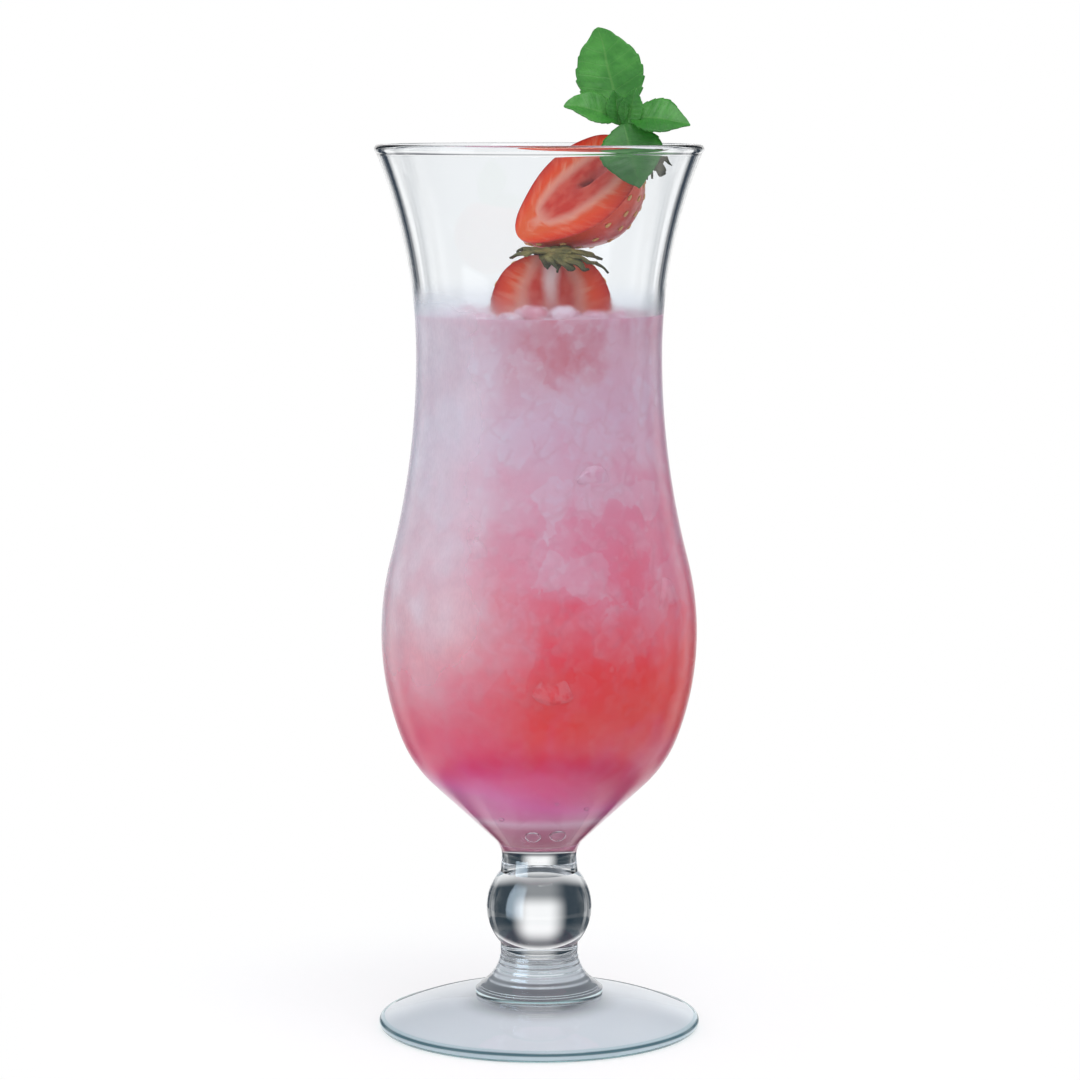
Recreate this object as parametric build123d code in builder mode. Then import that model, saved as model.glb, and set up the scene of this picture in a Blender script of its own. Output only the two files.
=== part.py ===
"""Hurricane glass on a knopped stem, served with an iced drink and a strawberry and mint garnish.

Millimetres and degrees. The glass stands on z = 0 with its axis on Z, and is seen from the -Y side.
"""

from build123d import *
import os
from math import asin, atan, atan2, cos, degrees, radians, sin, sqrt, tan

# Glass, from the table to the lip
HEIGHT = 210.0

# Foot: a disc with a rounded edge and a hollowed underside
FOOT_DIAMETER = 76.6
FOOT_TOP = 7.9
FOOT_EDGE = 2.7
FOOT_ARC = 67.0
FOOT_LAND = 5.95
RECESS_DEPTH = 1.3

# Stem, from the foot up: step ring, flare, lower collar, knop and upper collar
RING_HEIGHT = 1.4
RING_STEP = 1.0
RING_SLOPE = 0.84
FLARE_DIAMETER = 28.4
FLARE_ARC = 10.0
LOWER_COLLAR = 1.6
COLLAR_DIAMETER = 18.4
KNOP_DIAMETER = 25.1
KNOP_LENGTH = 17.2
UPPER_COLLAR = 3.6

# Bowl, from the neck up: outside diameters, and how far each level is above the one before
NECK_DIAMETER = 17.8
BASE_FILLET = 6.0
BASE_CONE = 47.0
HEEL_ARC = 30.0
BELLY_ARC = 70.0
BELLY_DIAMETER = 74.7
BELLY_RISE = 53.8
WAIST_DIAMETER = 57.8
WAIST_RISE = 66.0
RIM_DIAMETER = 77.2
WALL = 2.0
LIP_SWELL = 0.2
FLOOR_THICKNESS = 4.8

# Drink, filled to a depth below the rim
FILL_DEPTH = 40.0
DRINK_GAP = 0.1

# Crushed ice sunk in the drink; the blocks take the sides, radii and tilts in turn
ICE_COUNT = 15
ICE_ABOVE_FLOOR = 30.0
ICE_BELOW_FILL = 13.5
ICE_SIDES = (4, 5, 6)
ICE_TILTS = (-5.7, 0.0, 5.7)
ICE_SMALL_RADIUS = 5.0
ICE_MIDDLE_RADIUS = 5.8
ICE_LARGE_RADIUS = 6.6
ICE_DEPTH = 6.5
ICE_SINK = 1.5
ICE_TAPER = 14.0
ICE_TURN = 137.5

# Ice at the surface of the drink
SURFACE_ICE_ANGLES = (118.0, 152.0, 185.0, 214.0, 330.0)
SURFACE_ICE_RADIUS = 4.2
SURFACE_ICE_DEPTH = 8.0
SURFACE_ICE_RISE = 2.0
SURFACE_ICE_INSET = 7.0

# Strawberry outline, as shares of a berry's radius and length
BERRY_NOSE = (0.55, 0.14)
BERRY_WIDEST = 0.56
BERRY_SHOULDER = (0.8, 0.86)
BERRY_CROWN = 0.36
BERRY_CROWN_SLOPE = 0.35

# Lower strawberry half, upright in the drink, cut face toward the viewer
LOWER_LENGTH = 29.0
LOWER_RADIUS = 14.2
LOWER_ACROSS = 2.8
LOWER_FRONT = 4.0
LOWER_SINK = 14.6
BERRY_GAP = 0.4

# Upper strawberry half, leaning across the lower one, cut face turned up to the left
UPPER_LENGTH = 33.0
UPPER_RADIUS = 13.4
UPPER_LEAN = 38.0
UPPER_TURN = 47.0
UPPER_SHIFT = 5.2
UPPER_BEHIND = 9.0
UPPER_SEAT = 0.3

# Calyx plates
CALYX_THICKNESS = 0.8
CALYX_HUB = 3.4
SEPAL_WIDTH = 4.6
LOWER_SEPAL_ANGLES = (10.0, 32.0, 100.0, 140.0, 168.0)
LOWER_SEPAL_LENGTHS = (14.0, 12.0, 9.0, 9.5, 9.5)
UPPER_SEPAL_ANGLES = (14.0, 45.0, 85.0)
UPPER_SEPAL_LENGTHS = (9.5, 8.5, 7.0)

# Pick through both berries
PICK_DIAMETER = 2.0
PICK_TILT = 12.0
PICK_BEHIND = 8.0
PICK_START = 8.0
PICK_REACH = 10.0
PICK_FIT = 0.05

# Mint stem, pushed into the stem end of the upper berry
MINT_STEM_DIAMETER = 1.8
MINT_STEM_LENGTH = 18.0
MINT_TILT = 18.0
MINT_INSET = 6.6
MINT_ACROSS = 3.36
MINT_BEHIND = 5.3
MINT_FIT = 0.05

# Mint leaves: start from the top of the stem, reach from start to tip, facing direction and width
BACK_LEAF_START = (-0.6, 1.6, -0.5)
BACK_LEAF_REACH = (-5.2, 3.8, 20.6)
BACK_LEAF_FACING = (0.0, -1.0, 0.2)
BACK_LEAF_WIDTH = 15.5
LEFT_LEAF_START = (-1.4, -0.8, -1.2)
LEFT_LEAF_REACH = (-12.3, -3.4, 3.2)
LEFT_LEAF_FACING = (0.3, -0.7, 0.7)
LEFT_LEAF_WIDTH = 9.5
RIGHT_LEAF_START = (1.4, -0.8, -1.0)
RIGHT_LEAF_REACH = (14.0, -3.2, -1.7)
RIGHT_LEAF_FACING = (0.1, -0.7, 0.7)
RIGHT_LEAF_WIDTH = 11.0
FRONT_LEAF_START = (0.3, -1.3, -2.2)
FRONT_LEAF_REACH = (4.5, -5.8, -14.4)
FRONT_LEAF_FACING = (0.1, -0.9, -0.1)
FRONT_LEAF_WIDTH = 15.0
LEFT_BUD_START = (-1.3, -0.6, 0.5)
LEFT_BUD_REACH = (-1.7, -1.6, 5.0)
RIGHT_BUD_START = (1.0, -0.6, 0.5)
RIGHT_BUD_REACH = (1.0, -1.9, 5.9)
BUD_FACING = (0.0, -1.0, 0.2)
BUD_WIDTH = 3.2
LEAF_THICKNESS = 0.7
LEAF_SKEW = 0.909
LEAF_TEETH = 7
LEAF_TOOTH = 0.036

neck_radius = NECK_DIAMETER / 2
foot_radius = FOOT_DIAMETER / 2
collar_radius = COLLAR_DIAMETER / 2
flare_radius = FLARE_DIAMETER / 2
ring_radius = flare_radius + RING_STEP
waist_radius = WAIST_DIAMETER / 2
belly_radius = BELLY_DIAMETER / 2
lip_bead = WALL / 2 + LIP_SWELL
cone = radians(BASE_CONE)

# Levels, stacked from the table up
ring_top = FOOT_TOP + RING_HEIGHT
stem_flare_turn = 90 - degrees(asin(1 - (flare_radius - collar_radius) / FLARE_ARC))
flare_top = ring_top + RING_SLOPE + FLARE_ARC * sin(radians(stem_flare_turn))
knop_bottom = flare_top + LOWER_COLLAR
knop_top = knop_bottom + KNOP_LENGTH
bowl_base = knop_top + UPPER_COLLAR
belly_height = bowl_base + BELLY_RISE
waist_height = belly_height + WAIST_RISE
floor_height = bowl_base + FLOOR_THICKNESS
fill_height = HEIGHT - FILL_DEPTH

# The bowl's flare is one arc, upright at the waist, that carries the middle of the wall to the lip
rim_rise = HEIGHT - waist_height - lip_bead
rim_spread = (RIM_DIAMETER - WAIST_DIAMETER + WALL) / 2 - lip_bead
rim_middle = (rim_rise**2 + rim_spread**2) / (2 * rim_spread)
rim_turn = degrees(asin(rim_rise / rim_middle))
rim_arc = rim_middle - WALL / 2

# Waist to belly is a pair of tangent arcs, upright at both ends
swell_turn = 2 * degrees(atan((belly_radius - waist_radius) / WAIST_RISE))
waist_arc = WAIST_RISE / sin(radians(swell_turn)) - BELLY_ARC
swell_height = belly_height + BELLY_ARC * sin(radians(swell_turn))

# Belly to neck: belly arc, heel arc, straight cone and fillet, all tangent
base_across = BELLY_ARC - HEEL_ARC * cos(cone) + BASE_FILLET * (1 - cos(cone))
base_across -= belly_radius - neck_radius
base_drop = BELLY_RISE - (HEEL_ARC + BASE_FILLET) * sin(cone)
base_lean = base_across * sin(cone) - base_drop * cos(cone)
base_swing = BELLY_ARC - HEEL_ARC
cone_length = sqrt(base_lean**2 - base_across**2 - base_drop**2 + base_swing**2) - base_lean
heel_rise = base_drop - cone_length * cos(cone)
heel_turn = degrees(atan2(heel_rise, base_across + cone_length * sin(cone)))


def heading(turn):
    """Direction of travel down the wall, turned outward from straight down."""
    return Vector(sin(radians(turn)), -cos(radians(turn)))


def draw_wall(inset):
    """Draw the wall line from lip to heel, inset from the outer surface; give its two ends."""
    arc = rim_arc + inset
    lip_radius = waist_radius + rim_arc - arc * cos(radians(rim_turn))
    lip = Vector(lip_radius, waist_height + arc * sin(radians(rim_turn)))
    flare = JernArc(lip, heading(-rim_turn), arc, rim_turn)
    waist = JernArc(flare @ 1, heading(0), waist_arc + inset, swell_turn)
    swelling = JernArc(waist @ 1, heading(swell_turn), BELLY_ARC - inset, -swell_turn)
    belly = JernArc(swelling @ 1, heading(0), BELLY_ARC - inset, -heel_turn)
    heel = JernArc(belly @ 1, heading(-heel_turn), HEEL_ARC - inset, heel_turn - BASE_CONE)
    return lip, heel @ 1


def draw_floor(heel, height):
    """Draw the inside cone and the dished floor from the heel to the axis."""
    length = (heel.Y - height) * cos(cone) / (1 - sin(cone)) - heel.X
    dish = (heel.X - length * sin(cone)) / cos(cone)
    slope = Line(heel, heel + heading(-BASE_CONE) * length)
    bottom = JernArc(slope @ 1, heading(-BASE_CONE), dish, BASE_CONE - 90)
    return bottom @ 1


def wall_radius(height):
    """Outside radius of the bowl at a height between the heel and the lip."""
    if height > waist_height:
        return waist_radius + rim_arc - sqrt(rim_arc**2 - (height - waist_height) ** 2)
    if height > swell_height:
        return waist_radius + waist_arc - sqrt(waist_arc**2 - (height - waist_height) ** 2)
    return belly_radius - BELLY_ARC + sqrt(BELLY_ARC**2 - (height - belly_height) ** 2)


def filling(inset, floor, level):
    """Solid that fills the bowl up to a level, inset from the outer surface of the wall."""
    with BuildPart() as fill:
        with BuildSketch(Plane.XZ):
            with BuildLine():
                lip, heel = draw_wall(inset)
                bottom = draw_floor(heel, floor)
                Polyline(bottom, (0, lip.Y), lip)
            make_face()
        revolve(axis=Axis.Z)
        split(bisect_by=Plane.XY.offset(level), keep=Keep.BOTTOM)
    return fill.part


with BuildPart() as bowl:
    with BuildSketch(Plane.XZ):
        with BuildLine():
            outer_lip, outer_heel = draw_wall(0)
            base_cone = Line(outer_heel, outer_heel + heading(-BASE_CONE) * cone_length)
            base_fillet = JernArc(base_cone @ 1, heading(-BASE_CONE), BASE_FILLET, BASE_CONE)
            inner_lip, inner_heel = draw_wall(WALL)
            floor_centre = draw_floor(inner_heel, floor_height)
            Polyline(base_fillet @ 1, (0, bowl_base), floor_centre)
            Line(outer_lip, inner_lip)
        make_face()
        with Locations((outer_lip + inner_lip) / 2):
            Circle(lip_bead)
    revolve(axis=Axis.Z)
bowl.part.label = "bowl"

with BuildPart() as stem:
    with BuildSketch(Plane.XZ):
        with BuildLine():
            Polyline((0, bowl_base), (neck_radius, bowl_base), (collar_radius, knop_top))
            ThreePointArc(
                (collar_radius, knop_top),
                (KNOP_DIAMETER / 2, (knop_top + knop_bottom) / 2),
                (collar_radius, knop_bottom),
            )
            collar = Line((collar_radius, knop_bottom), (collar_radius, flare_top))
            stem_flare = JernArc(collar @ 1, heading(0), FLARE_ARC, stem_flare_turn)
            Polyline(stem_flare @ 1, (ring_radius, ring_top), (ring_radius, FOOT_TOP))
            Polyline((ring_radius, FOOT_TOP), (0, FOOT_TOP), (0, bowl_base))
        make_face()
    revolve(axis=Axis.Z)
stem.part.label = "stem"

edge_radius = foot_radius - FOOT_EDGE / 2
recess_radius = edge_radius - FOOT_LAND

with BuildPart() as foot:
    with BuildSketch(Plane.XZ):
        with BuildLine():
            Polyline((0, RECESS_DEPTH), (0, FOOT_TOP), (ring_radius, FOOT_TOP))
            RadiusArc((ring_radius, FOOT_TOP), (edge_radius, FOOT_EDGE), -FOOT_ARC)
            ThreePointArc((edge_radius, FOOT_EDGE), (foot_radius, FOOT_EDGE / 2), (edge_radius, 0))
            Line((edge_radius, 0), (recess_radius, 0))
            TangentArc((0, RECESS_DEPTH), (recess_radius, 0), tangent=(1, 0))
        make_face()
    revolve(axis=Axis.Z)
foot.part.label = "foot"


def polar(radius, angle, height):
    """Point at a radius and angle about the axis of the glass."""
    return Vector(radius * cos(radians(angle)), radius * sin(radians(angle)), height)


def ice_block(middle, inward, sides, radius, depth):
    """Rough block of ice whose widest face is centred on a point and faces away from inward."""
    with BuildPart() as block:
        with BuildSketch(Plane(origin=middle, z_dir=inward)):
            RegularPolygon(radius, sides)
        extrude(amount=depth, taper=ICE_TAPER)
    return block.part


# Sunken ice climbs the wall in a spiral; each block is cut to the curve of the wall
ice_lowest = floor_height + ICE_ABOVE_FLOOR
ice_highest = fill_height - ICE_BELOW_FILL
ice_radii = (ICE_SMALL_RADIUS, ICE_MIDDLE_RADIUS, ICE_LARGE_RADIUS)
sunken = []
for index in range(ICE_COUNT):
    height = ice_lowest + (ice_highest - ice_lowest) * index / (ICE_COUNT - 1)
    angle = index * ICE_TURN
    middle = polar(wall_radius(height) - WALL + ICE_SINK, angle, height)
    inward = polar(-1, angle, tan(radians(ICE_TILTS[index % len(ICE_TILTS)])))
    sides = ICE_SIDES[index % len(ICE_SIDES)]
    radius = ice_radii[index % len(ice_radii)]
    sunken.append(ice_block(middle, inward, sides, radius, ICE_DEPTH + ICE_SINK))

# Surface ice floats round the sides, with its flat face just above the drink
float_radius = wall_radius(fill_height) - WALL - SURFACE_ICE_INSET
floating = []
for index, angle in enumerate(SURFACE_ICE_ANGLES):
    middle = polar(float_radius, angle, fill_height + SURFACE_ICE_RISE)
    sides = ICE_SIDES[index % len(ICE_SIDES)]
    floating.append(ice_block(middle, (0, 0, -1), sides, SURFACE_ICE_RADIUS, SURFACE_ICE_DEPTH))


def draw_berry(length, radius, grow):
    """Draw a strawberry's side from tip to widest point, axis up from the origin, grown outward."""
    corner = grow / sqrt(2)
    side = Spline(
        (0, -grow),
        (radius * BERRY_NOSE[0] + corner, length * BERRY_NOSE[1] - corner),
        (radius + grow, length * BERRY_WIDEST),
        tangents=[(1, 0), (0, 1)],
    )
    return side @ 1


def berry_plane(tip, lean, turn):
    """Plane of a berry's cut face: X across it, Y along its axis, turned about that axis."""
    along = Vector(cos(radians(lean)), 0, sin(radians(lean)))
    across = Vector(sin(radians(lean)), 0, -cos(radians(lean)))
    edge = across * cos(radians(turn)) + across.cross(along) * sin(radians(turn))
    return Plane(origin=tip, x_dir=edge, z_dir=edge.cross(along))


def berry_half(plane, length, radius):
    """Half strawberry behind its sketch plane, with a flat stem end."""
    with BuildPart() as half:
        with BuildSketch(plane):
            with BuildLine():
                widest = draw_berry(length, radius, 0)
                shoulder = Spline(
                    widest,
                    (radius * BERRY_SHOULDER[0], length * BERRY_SHOULDER[1]),
                    (radius * BERRY_CROWN, length),
                    tangents=[(0, 1), (-1, BERRY_CROWN_SLOPE)],
                )
                Polyline(shoulder @ 1, (0, length), (0, 0))
            make_face()
        revolve(axis=Axis(plane.origin, plane.y_dir), revolution_arc=180)
    return half.part


def berry_pocket(plane, length, radius):
    """Room for a berry half in the drink, open straight up so that the berry lifts out."""
    with BuildPart() as pocket:
        with BuildSketch(plane):
            with BuildLine():
                widest = draw_berry(length, radius, BERRY_GAP)
                Polyline(widest, (widest.X, length), (0, length), (0, -BERRY_GAP))
            make_face()
        revolve(axis=Axis(plane.origin, plane.y_dir))
        split(bisect_by=plane.offset(BERRY_GAP), keep=Keep.BOTTOM)
    return pocket.part


lower_tip = Vector(LOWER_ACROSS, -LOWER_FRONT, fill_height - LOWER_SINK)
lower_plane = berry_plane(lower_tip, 90, 0)
drink_inset = WALL + DRINK_GAP
drink_floor = floor_height + DRINK_GAP

with BuildPart() as drink:
    add(filling(drink_inset, drink_floor, fill_height))
    add(sunken, mode=Mode.SUBTRACT)
    add(floating, mode=Mode.SUBTRACT)
    add(berry_pocket(lower_plane, LOWER_LENGTH, LOWER_RADIUS), mode=Mode.SUBTRACT)
drink.part.label = "drink"

with BuildPart() as crushed_ice:
    add(sunken)
    add(filling(drink_inset, drink_floor, fill_height), mode=Mode.INTERSECT)
crushed_ice.part.label = "crushed_ice"

with BuildPart() as surface_ice:
    add(floating)
surface_ice.part.label = "surface_ice"

# The upper berry leans across the lower calyx and rests its lowest point just above it
lower_crown = Plane(origin=lower_tip + Vector(0, 0, LOWER_LENGTH))
upper_direction = Vector(cos(radians(UPPER_LEAN)), 0, sin(radians(UPPER_LEAN)))
upper_trial = berry_half(berry_plane((0, 0, 0), UPPER_LEAN, UPPER_TURN), UPPER_LENGTH, UPPER_RADIUS)
upper_tip = Vector(
    LOWER_ACROSS + UPPER_SHIFT - upper_direction.X * UPPER_LENGTH / 2,
    UPPER_BEHIND - LOWER_FRONT,
    lower_crown.origin.Z + CALYX_THICKNESS + UPPER_SEAT - upper_trial.bounding_box().min.Z,
)
upper_plane = berry_plane(upper_tip, UPPER_LEAN, UPPER_TURN)
upper_end = upper_tip + upper_direction * UPPER_LENGTH
upper_crown = Plane(origin=upper_end, x_dir=upper_plane.x_dir, z_dir=upper_direction)

# The pick leans to the right; both berries and the lower calyx are bored for it
pick_direction = Vector(sin(radians(PICK_TILT)), 0, cos(radians(PICK_TILT)))
pick_rise = LOWER_LENGTH - PICK_START + CALYX_THICKNESS + UPPER_SEAT + PICK_REACH
pick_length = pick_rise / cos(radians(PICK_TILT))
pick_end = lower_tip + Vector(0, PICK_BEHIND, PICK_START)
pick_plane = Plane(origin=pick_end, z_dir=pick_direction)
bore_radius = PICK_DIAMETER / 2 + PICK_FIT

with BuildPart() as garnish_pick:
    with BuildSketch(pick_plane):
        Circle(PICK_DIAMETER / 2)
    extrude(amount=pick_length)
garnish_pick.part.label = "garnish_pick"

with BuildPart() as lower_berry:
    add(berry_half(lower_plane, LOWER_LENGTH, LOWER_RADIUS))
    with BuildSketch(pick_plane):
        Circle(bore_radius)
    extrude(amount=pick_length, mode=Mode.SUBTRACT)
lower_berry.part.label = "lower_berry"


def calyx(plane, angles, lengths):
    """Half star of pointed sepals on a hub, flat on a plane and cut through with its berry."""
    with BuildPart() as star:
        with BuildSketch(plane):
            Circle(CALYX_HUB)
            for angle, length in zip(angles, lengths):
                with BuildLine(Rot(0, 0, angle)):
                    Polyline(
                        (0, 0),
                        (length / 2, SEPAL_WIDTH / 2),
                        (length, 0),
                        (length / 2, -SEPAL_WIDTH / 2),
                        close=True,
                    )
                make_face()
        extrude(amount=CALYX_THICKNESS)
        split(bisect_by=Plane(origin=plane.origin, z_dir=plane.y_dir), keep=Keep.TOP)
    return star.part


with BuildPart() as lower_calyx:
    add(calyx(lower_crown, LOWER_SEPAL_ANGLES, LOWER_SEPAL_LENGTHS))
    with BuildSketch(pick_plane):
        Circle(bore_radius)
    extrude(amount=pick_length, mode=Mode.SUBTRACT)
lower_calyx.part.label = "lower_calyx"

# The mint stem starts inside the upper berry, near its stem end, and leans toward the viewer
mint_direction = Vector(0, -sin(radians(MINT_TILT)), cos(radians(MINT_TILT)))
mint_end = upper_end - upper_direction * MINT_INSET
mint_end += upper_plane.x_dir * MINT_ACROSS - upper_plane.z_dir * MINT_BEHIND
mint_top = mint_end + mint_direction * MINT_STEM_LENGTH
mint_plane = Plane(origin=mint_end, z_dir=mint_direction)
mint_bore = MINT_STEM_DIAMETER / 2 + MINT_FIT

with BuildPart() as upper_berry:
    add(berry_half(upper_plane, UPPER_LENGTH, UPPER_RADIUS))
    with BuildSketch(pick_plane):
        Circle(bore_radius)
    extrude(amount=pick_length + PICK_FIT, mode=Mode.SUBTRACT)
    with BuildSketch(mint_plane.offset(-MINT_FIT)):
        Circle(mint_bore)
    extrude(amount=MINT_STEM_LENGTH, mode=Mode.SUBTRACT)
upper_berry.part.label = "upper_berry"

with BuildPart() as upper_calyx:
    add(calyx(upper_crown, UPPER_SEPAL_ANGLES, UPPER_SEPAL_LENGTHS))
    with BuildSketch(mint_plane):
        Circle(mint_bore)
    extrude(amount=MINT_STEM_LENGTH, mode=Mode.SUBTRACT)
upper_calyx.part.label = "upper_calyx"

with BuildPart() as mint_stem:
    with BuildSketch(mint_plane):
        Circle(MINT_STEM_DIAMETER / 2)
    extrude(amount=MINT_STEM_LENGTH)
mint_stem.part.label = "mint_stem"


def leaf(start, reach, facing, width):
    """Flat toothed leaf that starts by the top of the mint stem, its face turned to a direction."""
    along = Vector(*reach)
    face = Vector(*facing)
    normal = face - along * (face.dot(along) / along.dot(along))
    length = along.length
    edge = []
    for step in range(2 * LEAF_TEETH + 1):
        share = step / (2 * LEAF_TEETH)
        half = width / 2 * sin(radians(180 * share**LEAF_SKEW))
        tooth = length * LEAF_TOOTH * (1 - share) * (step % 2)
        edge.append((length * share, half + tooth))
    mirrored = [(x, -y) for x, y in reversed(edge[1:-1])]
    with BuildPart() as blade:
        with BuildSketch(Plane(origin=mint_top + Vector(*start), x_dir=along, z_dir=normal)):
            Polygon(*edge, *mirrored, align=None)
        extrude(amount=LEAF_THICKNESS / 2, both=True)
    return blade.part


with BuildPart() as mint_leaf_back:
    add(leaf(BACK_LEAF_START, BACK_LEAF_REACH, BACK_LEAF_FACING, BACK_LEAF_WIDTH))
mint_leaf_back.part.label = "mint_leaf_back"

with BuildPart() as mint_leaf_left:
    add(leaf(LEFT_LEAF_START, LEFT_LEAF_REACH, LEFT_LEAF_FACING, LEFT_LEAF_WIDTH))
mint_leaf_left.part.label = "mint_leaf_left"

with BuildPart() as mint_leaf_right:
    add(leaf(RIGHT_LEAF_START, RIGHT_LEAF_REACH, RIGHT_LEAF_FACING, RIGHT_LEAF_WIDTH))
mint_leaf_right.part.label = "mint_leaf_right"

with BuildPart() as mint_leaf_front:
    add(leaf(FRONT_LEAF_START, FRONT_LEAF_REACH, FRONT_LEAF_FACING, FRONT_LEAF_WIDTH))
mint_leaf_front.part.label = "mint_leaf_front"

with BuildPart() as mint_bud_left:
    add(leaf(LEFT_BUD_START, LEFT_BUD_REACH, BUD_FACING, BUD_WIDTH))
mint_bud_left.part.label = "mint_bud_left"

with BuildPart() as mint_bud_right:
    add(leaf(RIGHT_BUD_START, RIGHT_BUD_REACH, BUD_FACING, BUD_WIDTH))
mint_bud_right.part.label = "mint_bud_right"

os.makedirs("parts", exist_ok=True)
export_step(bowl.part, "parts/bowl.step")
export_step(stem.part, "parts/stem.step")
export_step(foot.part, "parts/foot.step")
export_step(drink.part, "parts/drink.step")
export_step(crushed_ice.part, "parts/crushed_ice.step")
export_step(surface_ice.part, "parts/surface_ice.step")
export_step(garnish_pick.part, "parts/garnish_pick.step")
export_step(lower_berry.part, "parts/lower_berry.step")
export_step(lower_calyx.part, "parts/lower_calyx.step")
export_step(upper_berry.part, "parts/upper_berry.step")
export_step(upper_calyx.part, "parts/upper_calyx.step")
export_step(mint_stem.part, "parts/mint_stem.step")
export_step(mint_leaf_back.part, "parts/mint_leaf_back.step")
export_step(mint_leaf_left.part, "parts/mint_leaf_left.step")
export_step(mint_leaf_right.part, "parts/mint_leaf_right.step")
export_step(mint_leaf_front.part, "parts/mint_leaf_front.step")
export_step(mint_bud_left.part, "parts/mint_bud_left.step")
export_step(mint_bud_right.part, "parts/mint_bud_right.step")
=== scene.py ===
"""Looks of the hurricane glass: clear and frosted glass, iced drink, strawberry halves and mint.

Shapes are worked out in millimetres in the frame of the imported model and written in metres.
Materials read places in metres.
"""

import math
import random
from itertools import pairwise

import bmesh
import bpy
from mathutils import Matrix, Vector, kdtree, noise


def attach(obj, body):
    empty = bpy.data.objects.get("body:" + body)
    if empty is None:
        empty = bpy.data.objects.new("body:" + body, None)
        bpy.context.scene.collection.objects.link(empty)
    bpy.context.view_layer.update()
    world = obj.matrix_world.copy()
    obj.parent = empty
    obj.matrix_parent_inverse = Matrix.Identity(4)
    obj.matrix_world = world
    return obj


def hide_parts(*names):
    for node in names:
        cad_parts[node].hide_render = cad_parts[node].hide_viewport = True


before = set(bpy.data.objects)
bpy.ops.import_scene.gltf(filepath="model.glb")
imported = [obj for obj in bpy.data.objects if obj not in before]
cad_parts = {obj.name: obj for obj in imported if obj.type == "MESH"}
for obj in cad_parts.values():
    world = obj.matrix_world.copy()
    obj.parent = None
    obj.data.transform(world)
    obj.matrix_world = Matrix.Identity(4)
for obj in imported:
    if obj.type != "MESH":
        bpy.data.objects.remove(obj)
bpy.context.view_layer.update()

MM = 0.001
RIGHT_ANGLE = math.pi / 2
GOLDEN_ANGLE = math.radians(137.5)
SPIN_STEPS = 256
NOISE_SEED = 5
ICE_SEED = 11
noise.seed_set(NOISE_SEED)

# Glass sizes, the same as in the model
FOOT_RADIUS = 38.3
FOOT_TOP = 7.9
FOOT_EDGE = 2.7
FOOT_ARC = 67.0
FOOT_LAND = 5.95
RECESS_DEPTH = 1.3
RING_RADIUS = 15.2
RING_TOP = 9.3
FLARE_RADIUS = 14.2
FLARE_ARC = 10.0
FLARE_TOP = 18.8
COLLAR_RADIUS = 9.2
KNOP_RADIUS = 12.55
KNOP_BOTTOM = 20.4
KNOP_TOP = 37.6
NECK_RADIUS = 8.9
BOWL_BASE = 41.2
FLOOR_HEIGHT = 46.0
BASE_FILLET = 6.0
CONE = math.radians(47.0)
CONE_LENGTH = 19.8067
HEEL_ARC = 30.0
HEEL_TURN = math.radians(20.431)
BELLY_ARC = 70.0
SWELL_TURN = math.radians(14.5918)
WAIST_ARC = 191.976
WAIST_RADIUS = 28.9
WAIST_HEIGHT = 161.0
RIM_ARC = 124.005
RIM_TURN = math.radians(22.4815)
WALL = 2.0
LIP_BEAD = 1.2
FILL_HEIGHT = 170.0

# Mould rings on the flare, and the small bevel of the step ring under it
RIDGE_DEPTH = 0.18
RIDGE_PITCH = 2.6
RING_BEVEL = 0.15


def srgb(red, green, blue):
    """Linear colour, with alpha, from 8-bit sRGB values."""
    channels = [value / 255 for value in (red, green, blue)]
    linear = [c / 12.92 if c <= 0.04045 else ((c + 0.055) / 1.055) ** 2.4 for c in channels]
    return (*linear, 1.0)


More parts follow.
